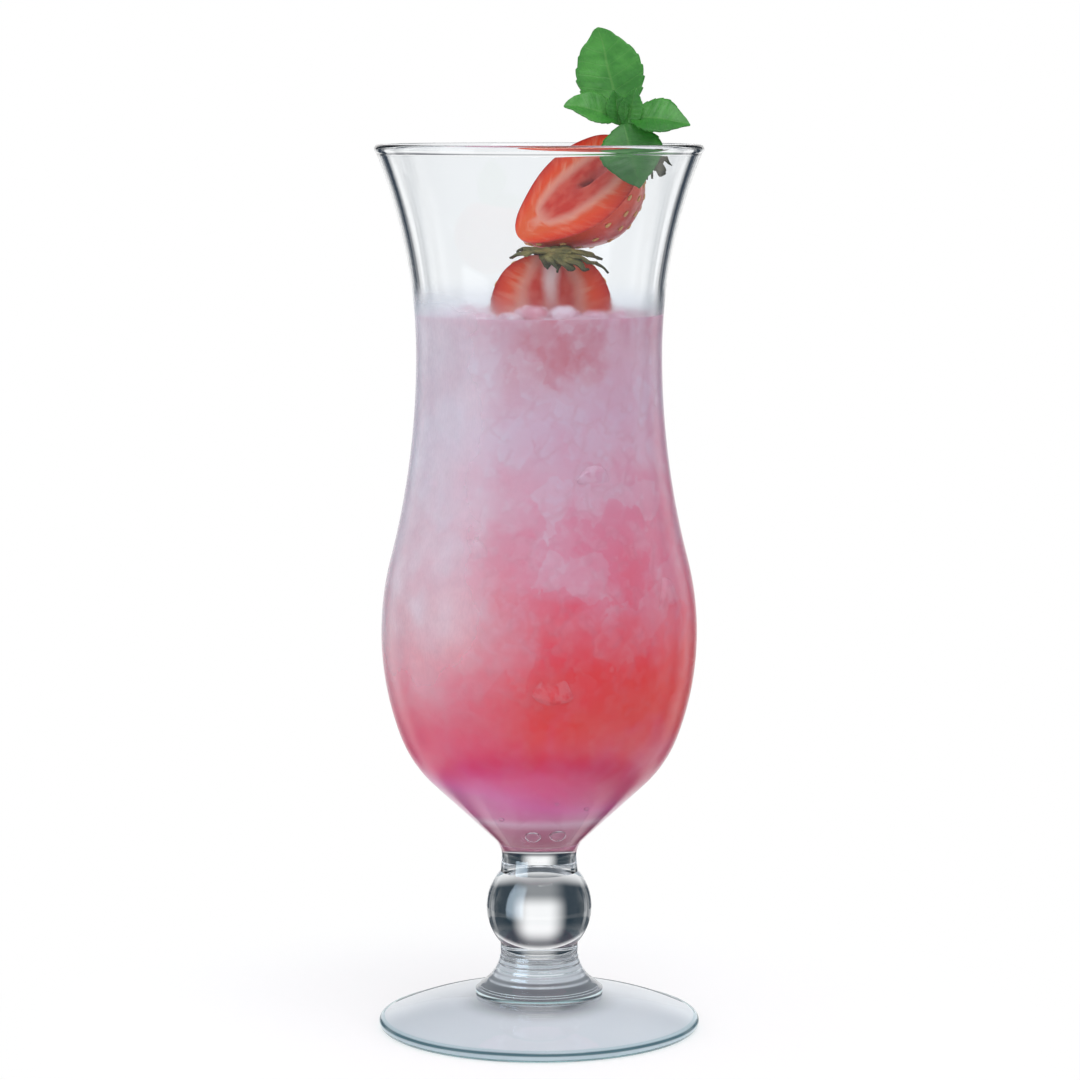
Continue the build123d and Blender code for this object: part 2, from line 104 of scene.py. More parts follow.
class Nodes:
    """A node tree, with short calls that add a node to it and give back an output."""

    def __init__(self, tree):
        self.tree = tree
        tree.nodes.clear()

    def add(self, kind, **settings):
        node = self.tree.nodes.new("ShaderNode" + kind)
        for key, value in settings.items():
            setattr(node, key, value)
        return node

    def feed(self, socket, value):
        if isinstance(value, bpy.types.NodeSocket):
            self.tree.links.new(value, socket)
        else:
            socket.default_value = value

    def fill(self, node, *values):
        """Feed the inputs of a node in their order."""
        for socket, value in zip(node.inputs, values):
            self.feed(socket, value)
        return node.outputs[0]

    def by_name(self, node, **inputs):
        """Feed the inputs of a node by name, written with underscores."""
        for key, value in inputs.items():
            self.feed(node.inputs[key.replace("_", " ")], value)
        return node.outputs[0]

    def math(self, operation, *values, clamp=False):
        return self.fill(self.add("Math", operation=operation, use_clamp=clamp), *values)

    def times(self, first, *others):
        for value in others:
            first = self.math("MULTIPLY", first, value)
        return first

    def plus(self, first, second):
        return self.math("ADD", first, second)

    def minus(self, first, second, clamp=False):
        return self.math("SUBTRACT", first, second, clamp=clamp)

    def gap(self, first, second):
        """Size of the difference of two values."""
        return self.math("ABSOLUTE", self.minus(first, second))

    def from_axis(self, x, y):
        """Distance from the axis of the glass."""
        return self.math("SQRT", self.plus(self.times(x, x), self.times(y, y)))

    def bearing(self, x, y):
        """Angle to either side of straight behind the glass."""
        return self.math("ABSOLUTE", self.math("ARCTAN2", x, y))

    def ease(self, value, low, high, start=0.0, end=1.0):
        """Smooth step from start, at low, to end, at high."""
        node = self.add("MapRange", interpolation_type="SMOOTHSTEP")
        return self.fill(node, value, low, high, start, end)

    def fade(self, value, low, high, start=1.0):
        """Smooth step from start, at low, down to nothing, at high."""
        return self.ease(value, low, high, start, 0.0)

    def band(self, value, rise, full, fall, end):
        """One between two smooth steps, up and down again."""
        return self.times(self.ease(value, rise, full), self.fade(value, fall, end))

    def mix(self, factor, first, second):
        node = self.add("Mix", data_type="RGBA")
        self.feed(node.inputs["Factor"], factor)
        self.feed(node.inputs[6], first)
        self.feed(node.inputs[7], second)
        return node.outputs[2]

    def ramp(self, factor, *stops):
        node = self.add("ValToRGB")
        points = node.color_ramp.elements
        while len(points) < len(stops):
            points.new(1.0)
        for point, (position, colour) in zip(points, stops):
            point.position = position
            point.color = colour
        return self.fill(node, factor)

    def split(self, vector):
        node = self.add("SeparateXYZ")
        self.fill(node, vector)
        return node.outputs

    def axes(self, output="Object"):
        """The whole coordinate and its three parts."""
        place = self.add("TexCoord").outputs[output]
        return (place, *self.split(place))

    def join(self, *parts):
        return self.fill(self.add("CombineXYZ"), *parts)

    def stretch(self, vector, scale):
        return self.by_name(self.add("Mapping"), Vector=vector, Scale=scale)

    def noise(self, vector, scale, detail=2.0, distortion=0.0):
        node = self.add("TexNoise")
        return self.by_name(node, Vector=vector, Scale=scale, Detail=detail, Distortion=distortion)

    def cells(self, vector, scale, output="Color", feature="F1"):
        node = self.add("TexVoronoi", feature=feature)
        self.by_name(node, Vector=vector, Scale=scale)
        return node.outputs[output]

    def bump(self, height, strength, distance):
        return self.by_name(self.add("Bump"), Height=height, Strength=strength, Distance=distance)

    def emission(self, colour, strength):
        return self.by_name(self.add("Emission"), Color=colour, Strength=strength)

    def clear(self, **inputs):
        return self.by_name(self.add("BsdfTransparent"), **inputs)

    def either(self, factor, first, second):
        return self.fill(self.add("MixShader"), factor, first, second)

    def both(self, first, second):
        return self.fill(self.add("AddShader"), first, second)


class Look(Nodes):
    """One procedural material."""

    def __init__(self, name):
        self.material = bpy.data.materials.new(name)
        self.material.use_nodes = True
        super().__init__(self.material.node_tree)

    def finish(self, shader):
        self.feed(self.add("OutputMaterial").inputs["Surface"], shader)
        return self.material

    def surface(self, colour, roughness, **inputs):
        """A Principled shader."""
        return self.by_name(self.add("BsdfPrincipled"), Base_Color=colour, Roughness=roughness, **inputs)

    def finish_solid(self, colour, roughness, soft=None, **inputs):
        """Finish a solid material; soft gives the weight and the reach of light inside it."""
        if soft:
            weight, reach = soft
            inputs |= {"Subsurface_Weight": weight, "Subsurface_Radius": reach, "Subsurface_Scale": 1.0}
        return self.finish(self.surface(colour, roughness, **inputs))

    def finish_clear(self, colour, roughness, **inputs):
        """Finish a see-through material; lamps shine through it instead of casting a dark shadow."""
        glass = {"IOR": GLASS_IOR, "Transmission_Weight": 1.0}
        shader = self.surface(colour, roughness, **(glass | inputs))
        shadow = self.add("LightPath").outputs["Is Shadow Ray"]
        return self.finish(self.either(shadow, shader, self.clear(Color=LAMP_TINT)))


def piece(name, points, faces, materials, marks=None, crease=40.0):
    """Mesh object from points in millimetres; marks give each face its material."""
    mesh = bpy.data.meshes.new(name)
    mesh.from_pydata([Vector(p) * MM for p in points], [], faces)
    for material in materials:
        mesh.materials.append(material)
    if marks:
        mesh.polygons.foreach_set("material_index", marks)
    mesh.polygons.foreach_set("use_smooth", [True] * len(faces))
    mesh.set_sharp_from_angle(angle=math.radians(crease))
    mesh.update()
    made = bpy.data.objects.new(name, mesh)
    bpy.context.scene.collection.objects.link(made)
    return made


def settle(made, body, slot, *nodes):
    """Tie a finished piece to its body and hide the nodes that it stands for; the slot is not used."""
    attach(made, body)
    if nodes:
        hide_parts(*nodes)


def gather(parts):
    """One list of points and one of faces from several meshes."""
    points, faces = [], []
    for more_points, more_faces in parts:
        first = len(points)
        points += more_points
        faces += [tuple(first + index for index in face) for face in more_faces]
    return points, faces


def grid_faces(rows, columns, closed=False):
    """Quads of a grid of points, row by row; a closed grid joins its last column to its first."""
    width = columns if closed else columns + 1
    faces = []
    for row in range(rows):
        for column in range(columns):
            low = row * width + column
            after = row * width + (column + 1) % width
            faces.append((low, after, after + width, low + width))
    return faces


def add_uvs(made, name, places):
    """Give a piece a UV layer from a place for each of its points."""
    layer = made.data.uv_layers.new(name=name)
    for corner in made.data.loops:
        layer.data[corner.index].uv = places[corner.vertex_index]


def spin(profile, marks):
    """Points, faces and face marks of a profile turned about Z, from the axis out and back to it."""
    points, rings, faces, face_marks = [], [], [], []
    for radius, height in profile:
        steps = SPIN_STEPS if radius > 0 else 1
        rings.append(range(len(points), len(points) + steps))
        points += [polar(radius, math.tau * step / SPIN_STEPS, height) for step in range(steps)]
    for (low, high), mark in zip(pairwise(rings), marks):
        for step in range(SPIN_STEPS):
            after = (step + 1) % SPIN_STEPS
            if len(low) == 1:
                faces.append((low[0], high[after], high[step]))
            elif len(high) == 1:
                faces.append((low[step], low[after], high[0]))
            else:
                faces.append((low[step], low[after], high[after], high[step]))
            face_marks.append(mark)
    return points, faces, face_marks


def turned_glass(name, profile, marks, materials, node, crease=40.0):
    """Piece of glass from a turned profile, in place of its node."""
    points, faces, face_marks = spin(profile, marks)
    made = piece(name, points, faces, materials, face_marks, crease)
    settle(made, "glass", "clear_glass", node)


def shares(steps):
    """Even steps from nothing to one."""
    return [step / steps for step in range(steps + 1)]


def bend(points, heading, radius, turn, steps):
    """Carry a profile on along an arc; headings are turned outward from straight down."""
    start_radius, start_height = points[-1]
    way = math.copysign(radius, turn)
    for step in range(1, steps + 1):
        angle = heading + turn * step / steps
        across = way * (math.cos(heading) - math.cos(angle))
        down = way * (math.sin(heading) - math.sin(angle))
        points.append((start_radius + across, start_height + down))


def run(points, heading, length, steps):
    """Carry a profile on along a straight line."""
    start_radius, start_height = points[-1]
    for step in range(1, steps + 1):
        part = length * step / steps
        points.append((start_radius + part * math.sin(heading), start_height - part * math.cos(heading)))


def run_to(points, radius, height, steps, groove=0.0):
    """Carry a profile on straight to a point, with two grooves of a given depth on the way."""
    start_radius, start_height = points[-1]
    for step in range(1, steps + 1):
        share = step / steps
        cut = groove * math.sin(math.tau * share) ** 2
        across = start_radius + (radius - start_radius) * share - cut
        points.append((across, start_height + (height - start_height) * share))


def wall(inset):
    """Profile of the bowl's wall from lip to heel, inset from its outer surface."""
    arc = RIM_ARC + inset
    lip_radius = WAIST_RADIUS + RIM_ARC - arc * math.cos(RIM_TURN)
    points = [(lip_radius, WAIST_HEIGHT + arc * math.sin(RIM_TURN))]
    bend(points, -RIM_TURN, arc, RIM_TURN, 44)
    bend(points, 0, WAIST_ARC + inset, SWELL_TURN, 40)
    bend(points, SWELL_TURN, BELLY_ARC - inset, -SWELL_TURN, 18)
    bend(points, 0, BELLY_ARC - inset, -HEEL_TURN, 24)
    bend(points, -HEEL_TURN, HEEL_ARC - inset, HEEL_TURN - CONE, 16)
    return points


def close_floor(points, floor):
    """Carry an inside wall on down the cone and along the dished floor to the axis."""
    radius, height = points[-1]
    length = (height - floor) * math.cos(CONE) / (1 - math.sin(CONE)) - radius
    dish = (radius - length * math.sin(CONE)) / math.cos(CONE)
    run(points, -CONE, length, 8)
    bend(points, -CONE, dish, CONE - RIGHT_ANGLE, 20)
    points[-1] = (0.0, points[-1][1])


def outer_wall():
    """Profile of the bowl's outside from lip to neck."""
    points = wall(0.0)
    run(points, -CONE, CONE_LENGTH, 12)
    bend(points, -CONE, BASE_FILLET, CONE, 14)
    return points


def radius_at(profile, height):
    """Radius of a wall profile at a height."""
    for (upper_radius, upper), (lower_radius, lower) in pairwise(profile):
        if lower <= height <= upper:
            share = (height - lower) / max(upper - lower, 1e-9)
            return lower_radius + (upper_radius - lower_radius) * share
    return profile[-1][0]


def polar(radius, angle, height):
    """Point at a radius and angle about the axis of the glass."""
    return Vector((radius * math.cos(angle), radius * math.sin(angle), height))


# Glass: its own faint blue, and what a lamp's light keeps on its way through
GLASS_IOR = 1.5
GLASS_TINT = (0.975, 0.99, 1.0, 1.0)
LAMP_TINT = (0.93, 0.95, 0.96, 1.0)

# Mist on the bowl: heights where it ends and begins, and a veil that is thicker high up and thicker on the
# left, where the extra whitish veil is a painted highlight
FROST_TOP = (0.1716, 0.1796)
FROST_FADE = (0.050, 0.062)
FROST_ROUGHNESS = 0.26
VEIL = 0.5
VEIL_RISE = (0.066, 0.102)
VEIL_HIGHLIGHT_SIDE = (-0.034, 0.008)
VEIL_TINT = (0.82, 0.86, 0.93, 1.0)
VEIL_SHADE = (0.62, 0.67, 0.76, 1.0)

# Foot: painted shade in the middle of the satin underside, under the stem, and the colours up its rounded
# edge, its own blue-green with painted dark lines and highlights
SATIN_SHADE_REACH = (0.0085, 0.020)
SATIN_PAINTED_SHADE = (0.07, 0.09, 0.11, 1.0)
SATIN_PALE = ((0.76, 0.82, 0.88, 1.0), (0.86, 0.90, 0.94, 1.0))
EDGE_TINT = (0.22, 0.50, 0.54, 1.0)
# Dark lines and pale bands up the edge are painted reflections, in the glass's own blue-green
EDGE_PAINTED_DARK_LINE = (0.014, 0.055, 0.07, 1.0)
EDGE_PAINTED_HIGHLIGHT = (0.58, 0.76, 0.80, 1.0)
EDGE_TINT_AND_PAINTED_LINES = (
    (0.0, EDGE_PAINTED_DARK_LINE),
    (0.25, EDGE_TINT),
    (0.42, EDGE_PAINTED_HIGHLIGHT),
    (0.62, EDGE_PAINTED_HIGHLIGHT),
    (0.72, EDGE_PAINTED_DARK_LINE),
    (0.88, EDGE_PAINTED_DARK_LINE),
    (0.98, EDGE_PAINTED_HIGHLIGHT),
)


def ripple(look, place):
    """Faint unevenness of pressed and blown glass."""
    return look.bump(look.noise(place, 45.0, 1.0), 0.06, 0.001)


def clear_glass():
    """Polished glass with faint ripples."""
    look = Look("clear_glass")
    place = look.axes()[0]
    film = look.ease(look.noise(place, 160.0, 3.0), 0.45, 0.8, 0.0, 0.004)
    return look.finish_clear(GLASS_TINT, film, Normal=ripple(look, place))


def frosted_glass():
    """Outside of the bowl: clear at the lip and the base, misted where the cold drink stands; the veil is
    thickened on the left as a painted highlight.
    """
    look = Look("frosted_glass")
    place, x, _, z = look.axes()
    line = look.plus(z, look.times(look.noise(place, 90.0, 2.0), 0.0012))
    mist = look.times(look.fade(line, *FROST_TOP), look.ease(z, *FROST_FADE))
    streaks = look.noise(look.stretch(place, (1.0, 1.0, 0.3)), 2500.0, 2.0)
    patches = look.noise(place, 70.0, 3.0)
    # Veil thickened on the left: a painted highlight of whiter mist
    veil_and_highlight = look.times(look.ease(z, *VEIL_RISE), look.ease(x, *VEIL_HIGHLIGHT_SIDE, 1.0, 0.04))
    veil_and_highlight = look.times(veil_and_highlight, look.ease(patches, 0.3, 0.7, 0.75, 1.1))
    shade = look.times(veil_and_highlight, look.ease(streaks, 0.35, 0.65, 0.0, 0.35))
    return look.finish_clear(
        look.mix(mist, GLASS_TINT, look.mix(shade, VEIL_TINT, VEIL_SHADE)),
        look.times(mist, FROST_ROUGHNESS),
        Specular_IOR_Level=look.ease(mist, 0.0, 1.0, 0.5, 0.16),
        Transmission_Weight=look.minus(1.0, look.times(mist, veil_and_highlight, VEIL)),
        Normal=look.bump(look.times(streaks, mist), 0.055, 0.0004),
    )


def satin_glass():
    """Underside of the foot: the mould's fine satin skin, with painted shade in its middle under the stem."""
    look = Look("satin_glass")
    place, x, y, _ = look.axes()
    pale = look.mix(look.noise(place, 60.0, 2.0), *SATIN_PALE)
    # Dark middle under the stem is painted shade
    outer = look.ease(look.from_axis(x, y), *SATIN_SHADE_REACH)
    return look.finish_clear(look.mix(outer, SATIN_PAINTED_SHADE, pale), 0.5, Transmission_Weight=0.3)


def edge_glass():
    """Rounded edge of the foot, where a long way through the glass shows its own blue-green; the dark lines
    and pale bands up it are painted reflections.
    """
    look = Look("edge_glass")
    place, _, _, z = look.axes()
    wave = look.times(look.noise(place, 30.0, 1.0), 0.12)
    height = look.plus(look.math("DIVIDE", z, FOOT_EDGE * MM), wave)
    # Ramp of the edge's own tint with painted dark lines and highlights by height
    return look.finish_clear(look.ramp(height, *EDGE_TINT_AND_PAINTED_LINES), 0.0, Normal=ripple(look, place))


def joint_clear():
    """Faces where two pieces of glass are fused; nothing shows there."""
    look = Look("joint_clear")
    return look.finish(look.clear())


CLEAR = clear_glass()
FROSTED = frosted_glass()
JOINT = joint_clear()
SATIN = satin_glass()
EDGE = edge_glass()


def build_bowl():
    """Bowl in one skin: joint, outside, rounded lip, inside and floor."""
    outside = outer_wall()
    inside = wall(WALL)
    middle = (Vector(outside[0]) + Vector(inside[0])) / 2
    up = Vector((math.sin(RIM_TURN), math.cos(RIM_TURN)))
    out = Vector((math.cos(RIM_TURN), -math.sin(RIM_TURN)))
    start = math.asin(math.sqrt(LIP_BEAD**2 - (WALL / 2) ** 2) / LIP_BEAD)
    lip = []
    for share in shares(24):
        angle = -start + (math.pi + 2 * start) * share
        lip.append(tuple(middle + (out * math.cos(angle) + up * math.sin(angle)) * LIP_BEAD))
    clearance = 0.05
    outside = [point for point in outside if point[1] < lip[0][1] - clearance]
    inside = [point for point in inside if point[1] < lip[-1][1] - clearance]
    close_floor(inside, FLOOR_HEIGHT)
    profile = [(0.0, BOWL_BASE), *reversed(outside), *lip, *inside]
    marks = [2] + [1] * (len(outside) - 1) + [0] * (len(lip) + len(inside))
    turned_glass("bowl_glass", profile, marks, [CLEAR, FROSTED, JOINT], "bowl")


def build_stem():
    """Collar, ball knop, collar, flare and step ring, fused to bowl and foot."""
    chord = (KNOP_TOP - KNOP_BOTTOM) / 2
    bulge = KNOP_RADIUS - COLLAR_RADIUS
    knop_arc = (chord**2 + bulge**2) / (2 * bulge)
    knop_turn = math.asin(chord / knop_arc)
    down = [(NECK_RADIUS, BOWL_BASE)]
    run_to(down, COLLAR_RADIUS, KNOP_TOP, 6)
    bend(down, knop_turn, knop_arc, -2 * knop_turn, 48)
    run(down, 0, KNOP_BOTTOM - FLARE_TOP, 4)
    flare_turn = math.acos(1 - (FLARE_RADIUS - COLLAR_RADIUS) / FLARE_ARC)
    flare = down[-1:]
    bend(flare, 0, FLARE_ARC, flare_turn, 60)
    for radius, height in flare[1:]:
        wave = math.sin(math.tau * (height - RING_TOP) / RIDGE_PITCH)
        down.append((radius - RIDGE_DEPTH * wave**2, height))
    run_to(down, RING_RADIUS - RING_BEVEL, RING_TOP, 24, RIDGE_DEPTH)
    down += [(RING_RADIUS, RING_TOP - RING_BEVEL), (RING_RADIUS, FOOT_TOP)]
    profile = [(0.0, FOOT_TOP), *reversed(down), (0.0, BOWL_BASE)]
    marks = [1] + [0] * (len(down) - 1) + [1]
    turned_glass("stem_glass", profile, marks, [CLEAR, JOINT], "stem", crease=18.0)


def build_foot():
    """Foot disc: domed top, rounded edge, flat land and shallow hollow underneath."""
    edge = FOOT_RADIUS - FOOT_EDGE / 2
    recess = edge - FOOT_LAND
    under = [(recess * share, RECESS_DEPTH * (1 - share**2)) for share in shares(20)]
    rim = []
    for share in shares(16):
        angle = math.pi * share - RIGHT_ANGLE
        rim.append((edge + FOOT_EDGE / 2 * math.cos(angle), FOOT_EDGE / 2 * (1 + math.sin(angle))))
    top = []
    chord = Vector((RING_RADIUS - edge, FOOT_TOP - FOOT_EDGE))
    half_turn = math.asin(chord.length / 2 / FOOT_ARC)
    side = Vector((chord.y, -chord.x)).normalized()
    middle = Vector((edge, FOOT_EDGE)) + chord / 2 - side * FOOT_ARC * math.cos(half_turn)
    first = math.atan2(FOOT_EDGE - middle.y, edge - middle.x)
    for share in shares(30)[1:]:
        angle = first + 2 * half_turn * share
        top.append((middle.x + FOOT_ARC * math.cos(angle), middle.y + FOOT_ARC * math.sin(angle)))
    profile = [*under, *rim, *top, (0.0, FOOT_TOP)]
    marks = [2] * len(under) + [3] * (len(rim) - 1) + [0] * len(top) + [1]
    turned_glass("foot_glass", profile, marks, [CLEAR, JOINT, SATIN, EDGE], "foot", crease=30.0)


# Drink: how far it wets the wall, how rough its top is, and its colours from the floor to the fill line, with
# a painted highlight line low down
SOAK = 0.15
SLUSH_RISE = 1.1
DRINK_STOPS = (
    (0.0, srgb(196, 112, 134)),
    (0.035, srgb(206, 126, 156)),
    # Pale band low in the drink: a painted highlight line
    (0.05, srgb(236, 190, 212)),
    (0.062, srgb(232, 140, 184)),
    (0.09, srgb(246, 122, 188)),
    (0.13, srgb(248, 94, 156)),
    (0.17, srgb(248, 76, 126)),
    (0.215, srgb(250, 52, 92)),
    (0.26, srgb(252, 22, 44)),
    (0.32, srgb(250, 28, 44)),
    (0.39, srgb(246, 62, 90)),
    (0.47, srgb(238, 104, 132)),
    (0.55, srgb(234, 126, 154)),
    (0.62, srgb(232, 138, 164)),
    (0.70, srgb(230, 160, 182)),
    (0.80, srgb(224, 180, 200)),
    (0.92, srgb(226, 180, 196)),
    (1.0, srgb(214, 152, 172)),
)

# Berry juice near the surface, a rosy left, painted shade on the lower right and a red glow on the right
STAIN = srgb(210, 84, 96)
ROSE = srgb(248, 58, 116)
ROSE_HEIGHTS = (0.060, 0.072, 0.084, 0.104)
LOWER_RIGHT_PAINTED_SHADE = srgb(150, 40, 80)
GLOW = srgb(252, 36, 10)
GLOW_HEIGHTS = (0.066, 0.082, 0.080, 0.094)


def drink_colour(look):
    """Colour by height: greyish pink on top, through red, to lilac at the bottom; redder to the right, with
    painted shade on the lower right.
    """
    place, x, _, z = look.axes()
    swirl = look.minus(look.noise(place, 60.0, 3.0, 0.6), 0.5)
    shift = look.times(swirl, 0.026, look.ease(z, 0.056, 0.076))
    tilt = look.times(look.ease(x, -0.025, 0.025, -1.0, 1.0), -0.0035)
    tilt_heights = look.times(look.ease(z, 0.053, 0.06), look.ease(z, 0.058, 0.085, -1.5, 1.0))
    level = look.plus(z, look.plus(shift, look.times(tilt, tilt_heights)))
    above = look.minus(level, FLOOR_HEIGHT * MM)
    level = look.math("DIVIDE", above, (FILL_HEIGHT - FLOOR_HEIGHT) * MM, clamp=True)
    colour = look.ramp(level, *DRINK_STOPS)
    stain = look.times(look.fade(look.gap(x, 0.004), 0.004, 0.016), look.ease(z, 0.146, 0.160))
    stain = look.times(stain, look.ease(swirl, -0.12, 0.12, 0.0, 0.6))
    colour = look.mix(stain, colour, STAIN)
    rose = look.times(look.band(z, *ROSE_HEIGHTS), look.fade(x, -0.022, 0.004, 0.8))
    colour = look.mix(rose, colour, ROSE)
    # Painted shade: the lower right of the drink darkened
    dim = look.times(look.ease(x, 0.0, 0.02), look.fade(z, 0.05, 0.085, 0.3))
    colour = look.mix(dim, colour, LOWER_RIGHT_PAINTED_SHADE)
    glow = look.times(look.band(z, *GLOW_HEIGHTS), look.ease(x, -0.008, 0.012))
    glow = look.times(glow, look.ease(swirl, -0.14, 0.06, 0.2, 0.85))
    return look.mix(glow, colour, GLOW), level, place


def slush(look):
    """Colour of the red drink with cloudy, broken ice all through it, its relief and its place."""
    colour, level, place = drink_colour(look)
    cloud = look.noise(place, 85.0, 4.0, 0.3)
    small = look.noise(place, 300.0, 3.0, 0.2)
    shift = look.stretch(look.join(small, cloud, small), (0.006, 0.006, 0.006))
    warped = look.fill(
        look.add("VectorMath", operation="ADD"), look.stretch(place, (1.0, 1.0, 0.8)), shift
    )
    chips = look.fill(look.add("SeparateColor"), look.cells(warped, 140.0))
    ice = look.plus(look.ease(cloud, 0.42, 0.6, 0.0, 0.6), look.ease(small, 0.45, 0.62, 0.0, 0.45))
    ice = look.plus(ice, look.ease(chips, 0.4, 0.85, 0.0, 0.6))
    share = look.ease(level, 0.2, 0.75, 0.06, 0.42)
    colour = look.mix(look.times(ice, share), colour, srgb(226, 208, 222))
    cracks = look.cells(warped, 190.0, "Distance", "DISTANCE_TO_EDGE")
    cracks = look.times(look.fade(cracks, 0.0, 0.16, 0.16), look.ease(small, 0.42, 0.58))
    colour = look.mix(look.times(cracks, look.ease(level, 0.2, 0.4)), colour, srgb(204, 70, 104))
    return colour, look.plus(small, cloud), place


def drink_look():
    """Cloudy red slush that lets a little light in."""
    look = Look("iced_drink")
    colour, height, _ = slush(look)
    relief = look.bump(height, 0.2, 0.001)
    return look.finish_solid(colour, 0.35, (0.2, (0.004, 0.002, 0.0025)), Normal=relief)


def ice_look(name, white):
    """Cloudy ice, stained by the drink round it."""
    look = Look(name)
    stain, _, place = slush(look)
    cloud = look.noise(place, 230.0, 3.0, 0.8)
    return look.finish_solid(
        look.mix(look.ease(cloud, 0.36, 0.64, 0.0, white), stain, srgb(236, 226, 236)),
        look.ease(cloud, 0.3, 0.7, 0.15, 0.4),
        (0.3, (0.004, 0.003, 0.003)),
        Normal=look.bump(look.noise(place, 500.0, 2.0), 0.2, 0.0006),
    )


def build_drink():
    """Drink that wets the wall all round, with a rough slushy top."""
    side = wall(WALL - SOAK)
    edge = radius_at(side, FILL_HEIGHT)
    close_floor(side, FLOOR_HEIGHT - SOAK)
    side = [point for point in side if point[1] < FILL_HEIGHT - 0.3]
    top = [(edge * (1 - share), FILL_HEIGHT) for share in shares(34)]
    points, faces, marks = spin([*reversed(side), *top], [0] * (len(side) + len(top) - 1))
    for point in points:
        if point.z > FILL_HEIGHT - 0.1:
            inner = max(0.0, 1 - math.hypot(point.x, point.y) / edge)
            calm = min(1.0, inner * 6)
            wave = noise.fractal(Vector((point.x, point.y, 3.0)) * 0.22, 0.8, 2.1, 3)
            climb = 0.5 * (1 - min(1.0, inner * 14))
            point.z += SLUSH_RISE * calm * wave + climb
    made = piece("iced_drink", points, faces, [drink_look()], marks, crease=60.0)
    settle(made, "glass", "iced_drink", "drink")


# Ice: blocks against the wall, loose blocks round the surface, and loose ice in front of the lower berry,
# given by place, size and height over the fill line
CHUNK_POINTS = 18
SUNK_COUNT = 15
SUNK_HEIGHTS = (76.0, 156.5)
SUNK_SIZES = (4.4, 5.2, 5.8)
LOOSE_ANGLES = (118.0, 152.0, 185.0, 214.0, 330.0)
LOOSE_RADIUS = 20.2
LOOSE_SIZE = 4.4
FRONT_ICE = (
    (-13.0, -15.0, 4.2, -0.4),
    (-6.5, -17.0, 4.0, -0.5),
    (-1.5, -12.5, 4.8, 0.5),
    (5.8, -12.0, 4.4, 0.7),
    (12.5, -13.5, 4.2, -0.3),
)


def chunk(chance, middle, outward, size, depth, reach):
    """Points and faces of one broken block of ice: the hull of scattered points."""
    side = Vector((-outward.y, outward.x, 0.0))
    if side.length < 0.5:
        side = Vector((1.0, 0.0, 0.0))
    side.normalize()
    rise = outward.cross(side)
    shape = bmesh.new()
    for index in range(CHUNK_POINTS):
        angle = index * GOLDEN_ANGLE + chance.uniform(-0.3, 0.3)
        slope = 1 - 2 * (index + 0.5) / CHUNK_POINTS
        flat = math.sqrt(1 - slope**2) * size * chance.uniform(0.8, 1.1)
        lift = max(-depth, min(slope * depth, reach))
        spot = middle + side * flat * math.cos(angle) + rise * flat * math.sin(angle)
        shape.verts.new(spot + outward * lift)
    bmesh.ops.convex_hull(shape, input=shape.verts)
    bmesh.ops.delete(shape, geom=[v for v in shape.verts if not v.link_faces], context="VERTS")
    bmesh.ops.bevel(
        shape, geom=shape.edges[:], offset=0.35, segments=2, profile=0.6, affect="EDGES", clamp_overlap=True
    )
    shape.verts.index_update()
    points = [v.co.copy() for v in shape.verts]
    faces = [tuple(v.index for v in f.verts) for f in shape.faces]
    shape.free()
    return points, faces


def build_ice():
    """Blocks against the wall in a rising spiral, and loose blocks at the surface."""
    chance = random.Random(ICE_SEED)
    sunk = ice_look("ice_sunk", 0.14)
    loose = ice_look("ice_loose", 0.9)
    inside = wall(WALL)
    lowest, highest = SUNK_HEIGHTS
    parts = []
    for index in range(SUNK_COUNT):
        height = lowest + (highest - lowest) * index / (SUNK_COUNT - 1)
        angle = index * GOLDEN_ANGLE
        middle = polar(radius_at(inside, height) - 2.0, angle, height)
        size = SUNK_SIZES[index % len(SUNK_SIZES)]
        parts.append(chunk(chance, middle, polar(1.0, angle, 0.0), size, 4.5, 2.2))
    made = piece("ice_in_drink", *gather(parts), [sunk], crease=30.0)
    settle(made, "glass", "ice", "crushed_ice")
    parts = []
    upward = Vector((0.1, 0.05, 1.0)).normalized()
    for angle in LOOSE_ANGLES:
        middle = polar(LOOSE_RADIUS, math.radians(angle), FILL_HEIGHT - 1.6)
        parts.append(chunk(chance, middle, upward, LOOSE_SIZE, 4.0, 4.0))
    upward = Vector((0.1, -0.1, 1.0)).normalized()
    for x, y, size, rise in FRONT_ICE:
        middle = Vector((x, y, FILL_HEIGHT + rise))
        parts.append(chunk(chance, middle, upward, size, 3.0, size * 0.5))
    made = piece("ice_on_top", *gather(parts), [loose], crease=30.0)
    settle(made, "glass", "ice", "surface_ice")


# Strawberries: places and sizes as in the model, the grid of their skin and cut face, and the seeds
LOWER_TIP = (2.8, -4.0, 155.4)
LOWER_LENGTH = 29.0
LOWER_RADIUS = 14.2
UPPER_TIP = (-5.0022, 5.0, 188.486)
UPPER_LENGTH = 33.0
UPPER_RADIUS = 13.4
UPPER_LEAN = math.radians(38.0)
UPPER_TURN = math.radians(47.0)
SKIN_STEPS = 72
CUT_STEPS = 40
CUT_SWELL = 0.35
SEED_COUNT = 150
SEED_LENGTH = 0.9
SEED_WIDTH = 0.5
SEED_RISE = 0.36
SEED_SINK = 0.08
DIMPLE_REACH = 1.1
DIMPLE_DEPTH = 0.4


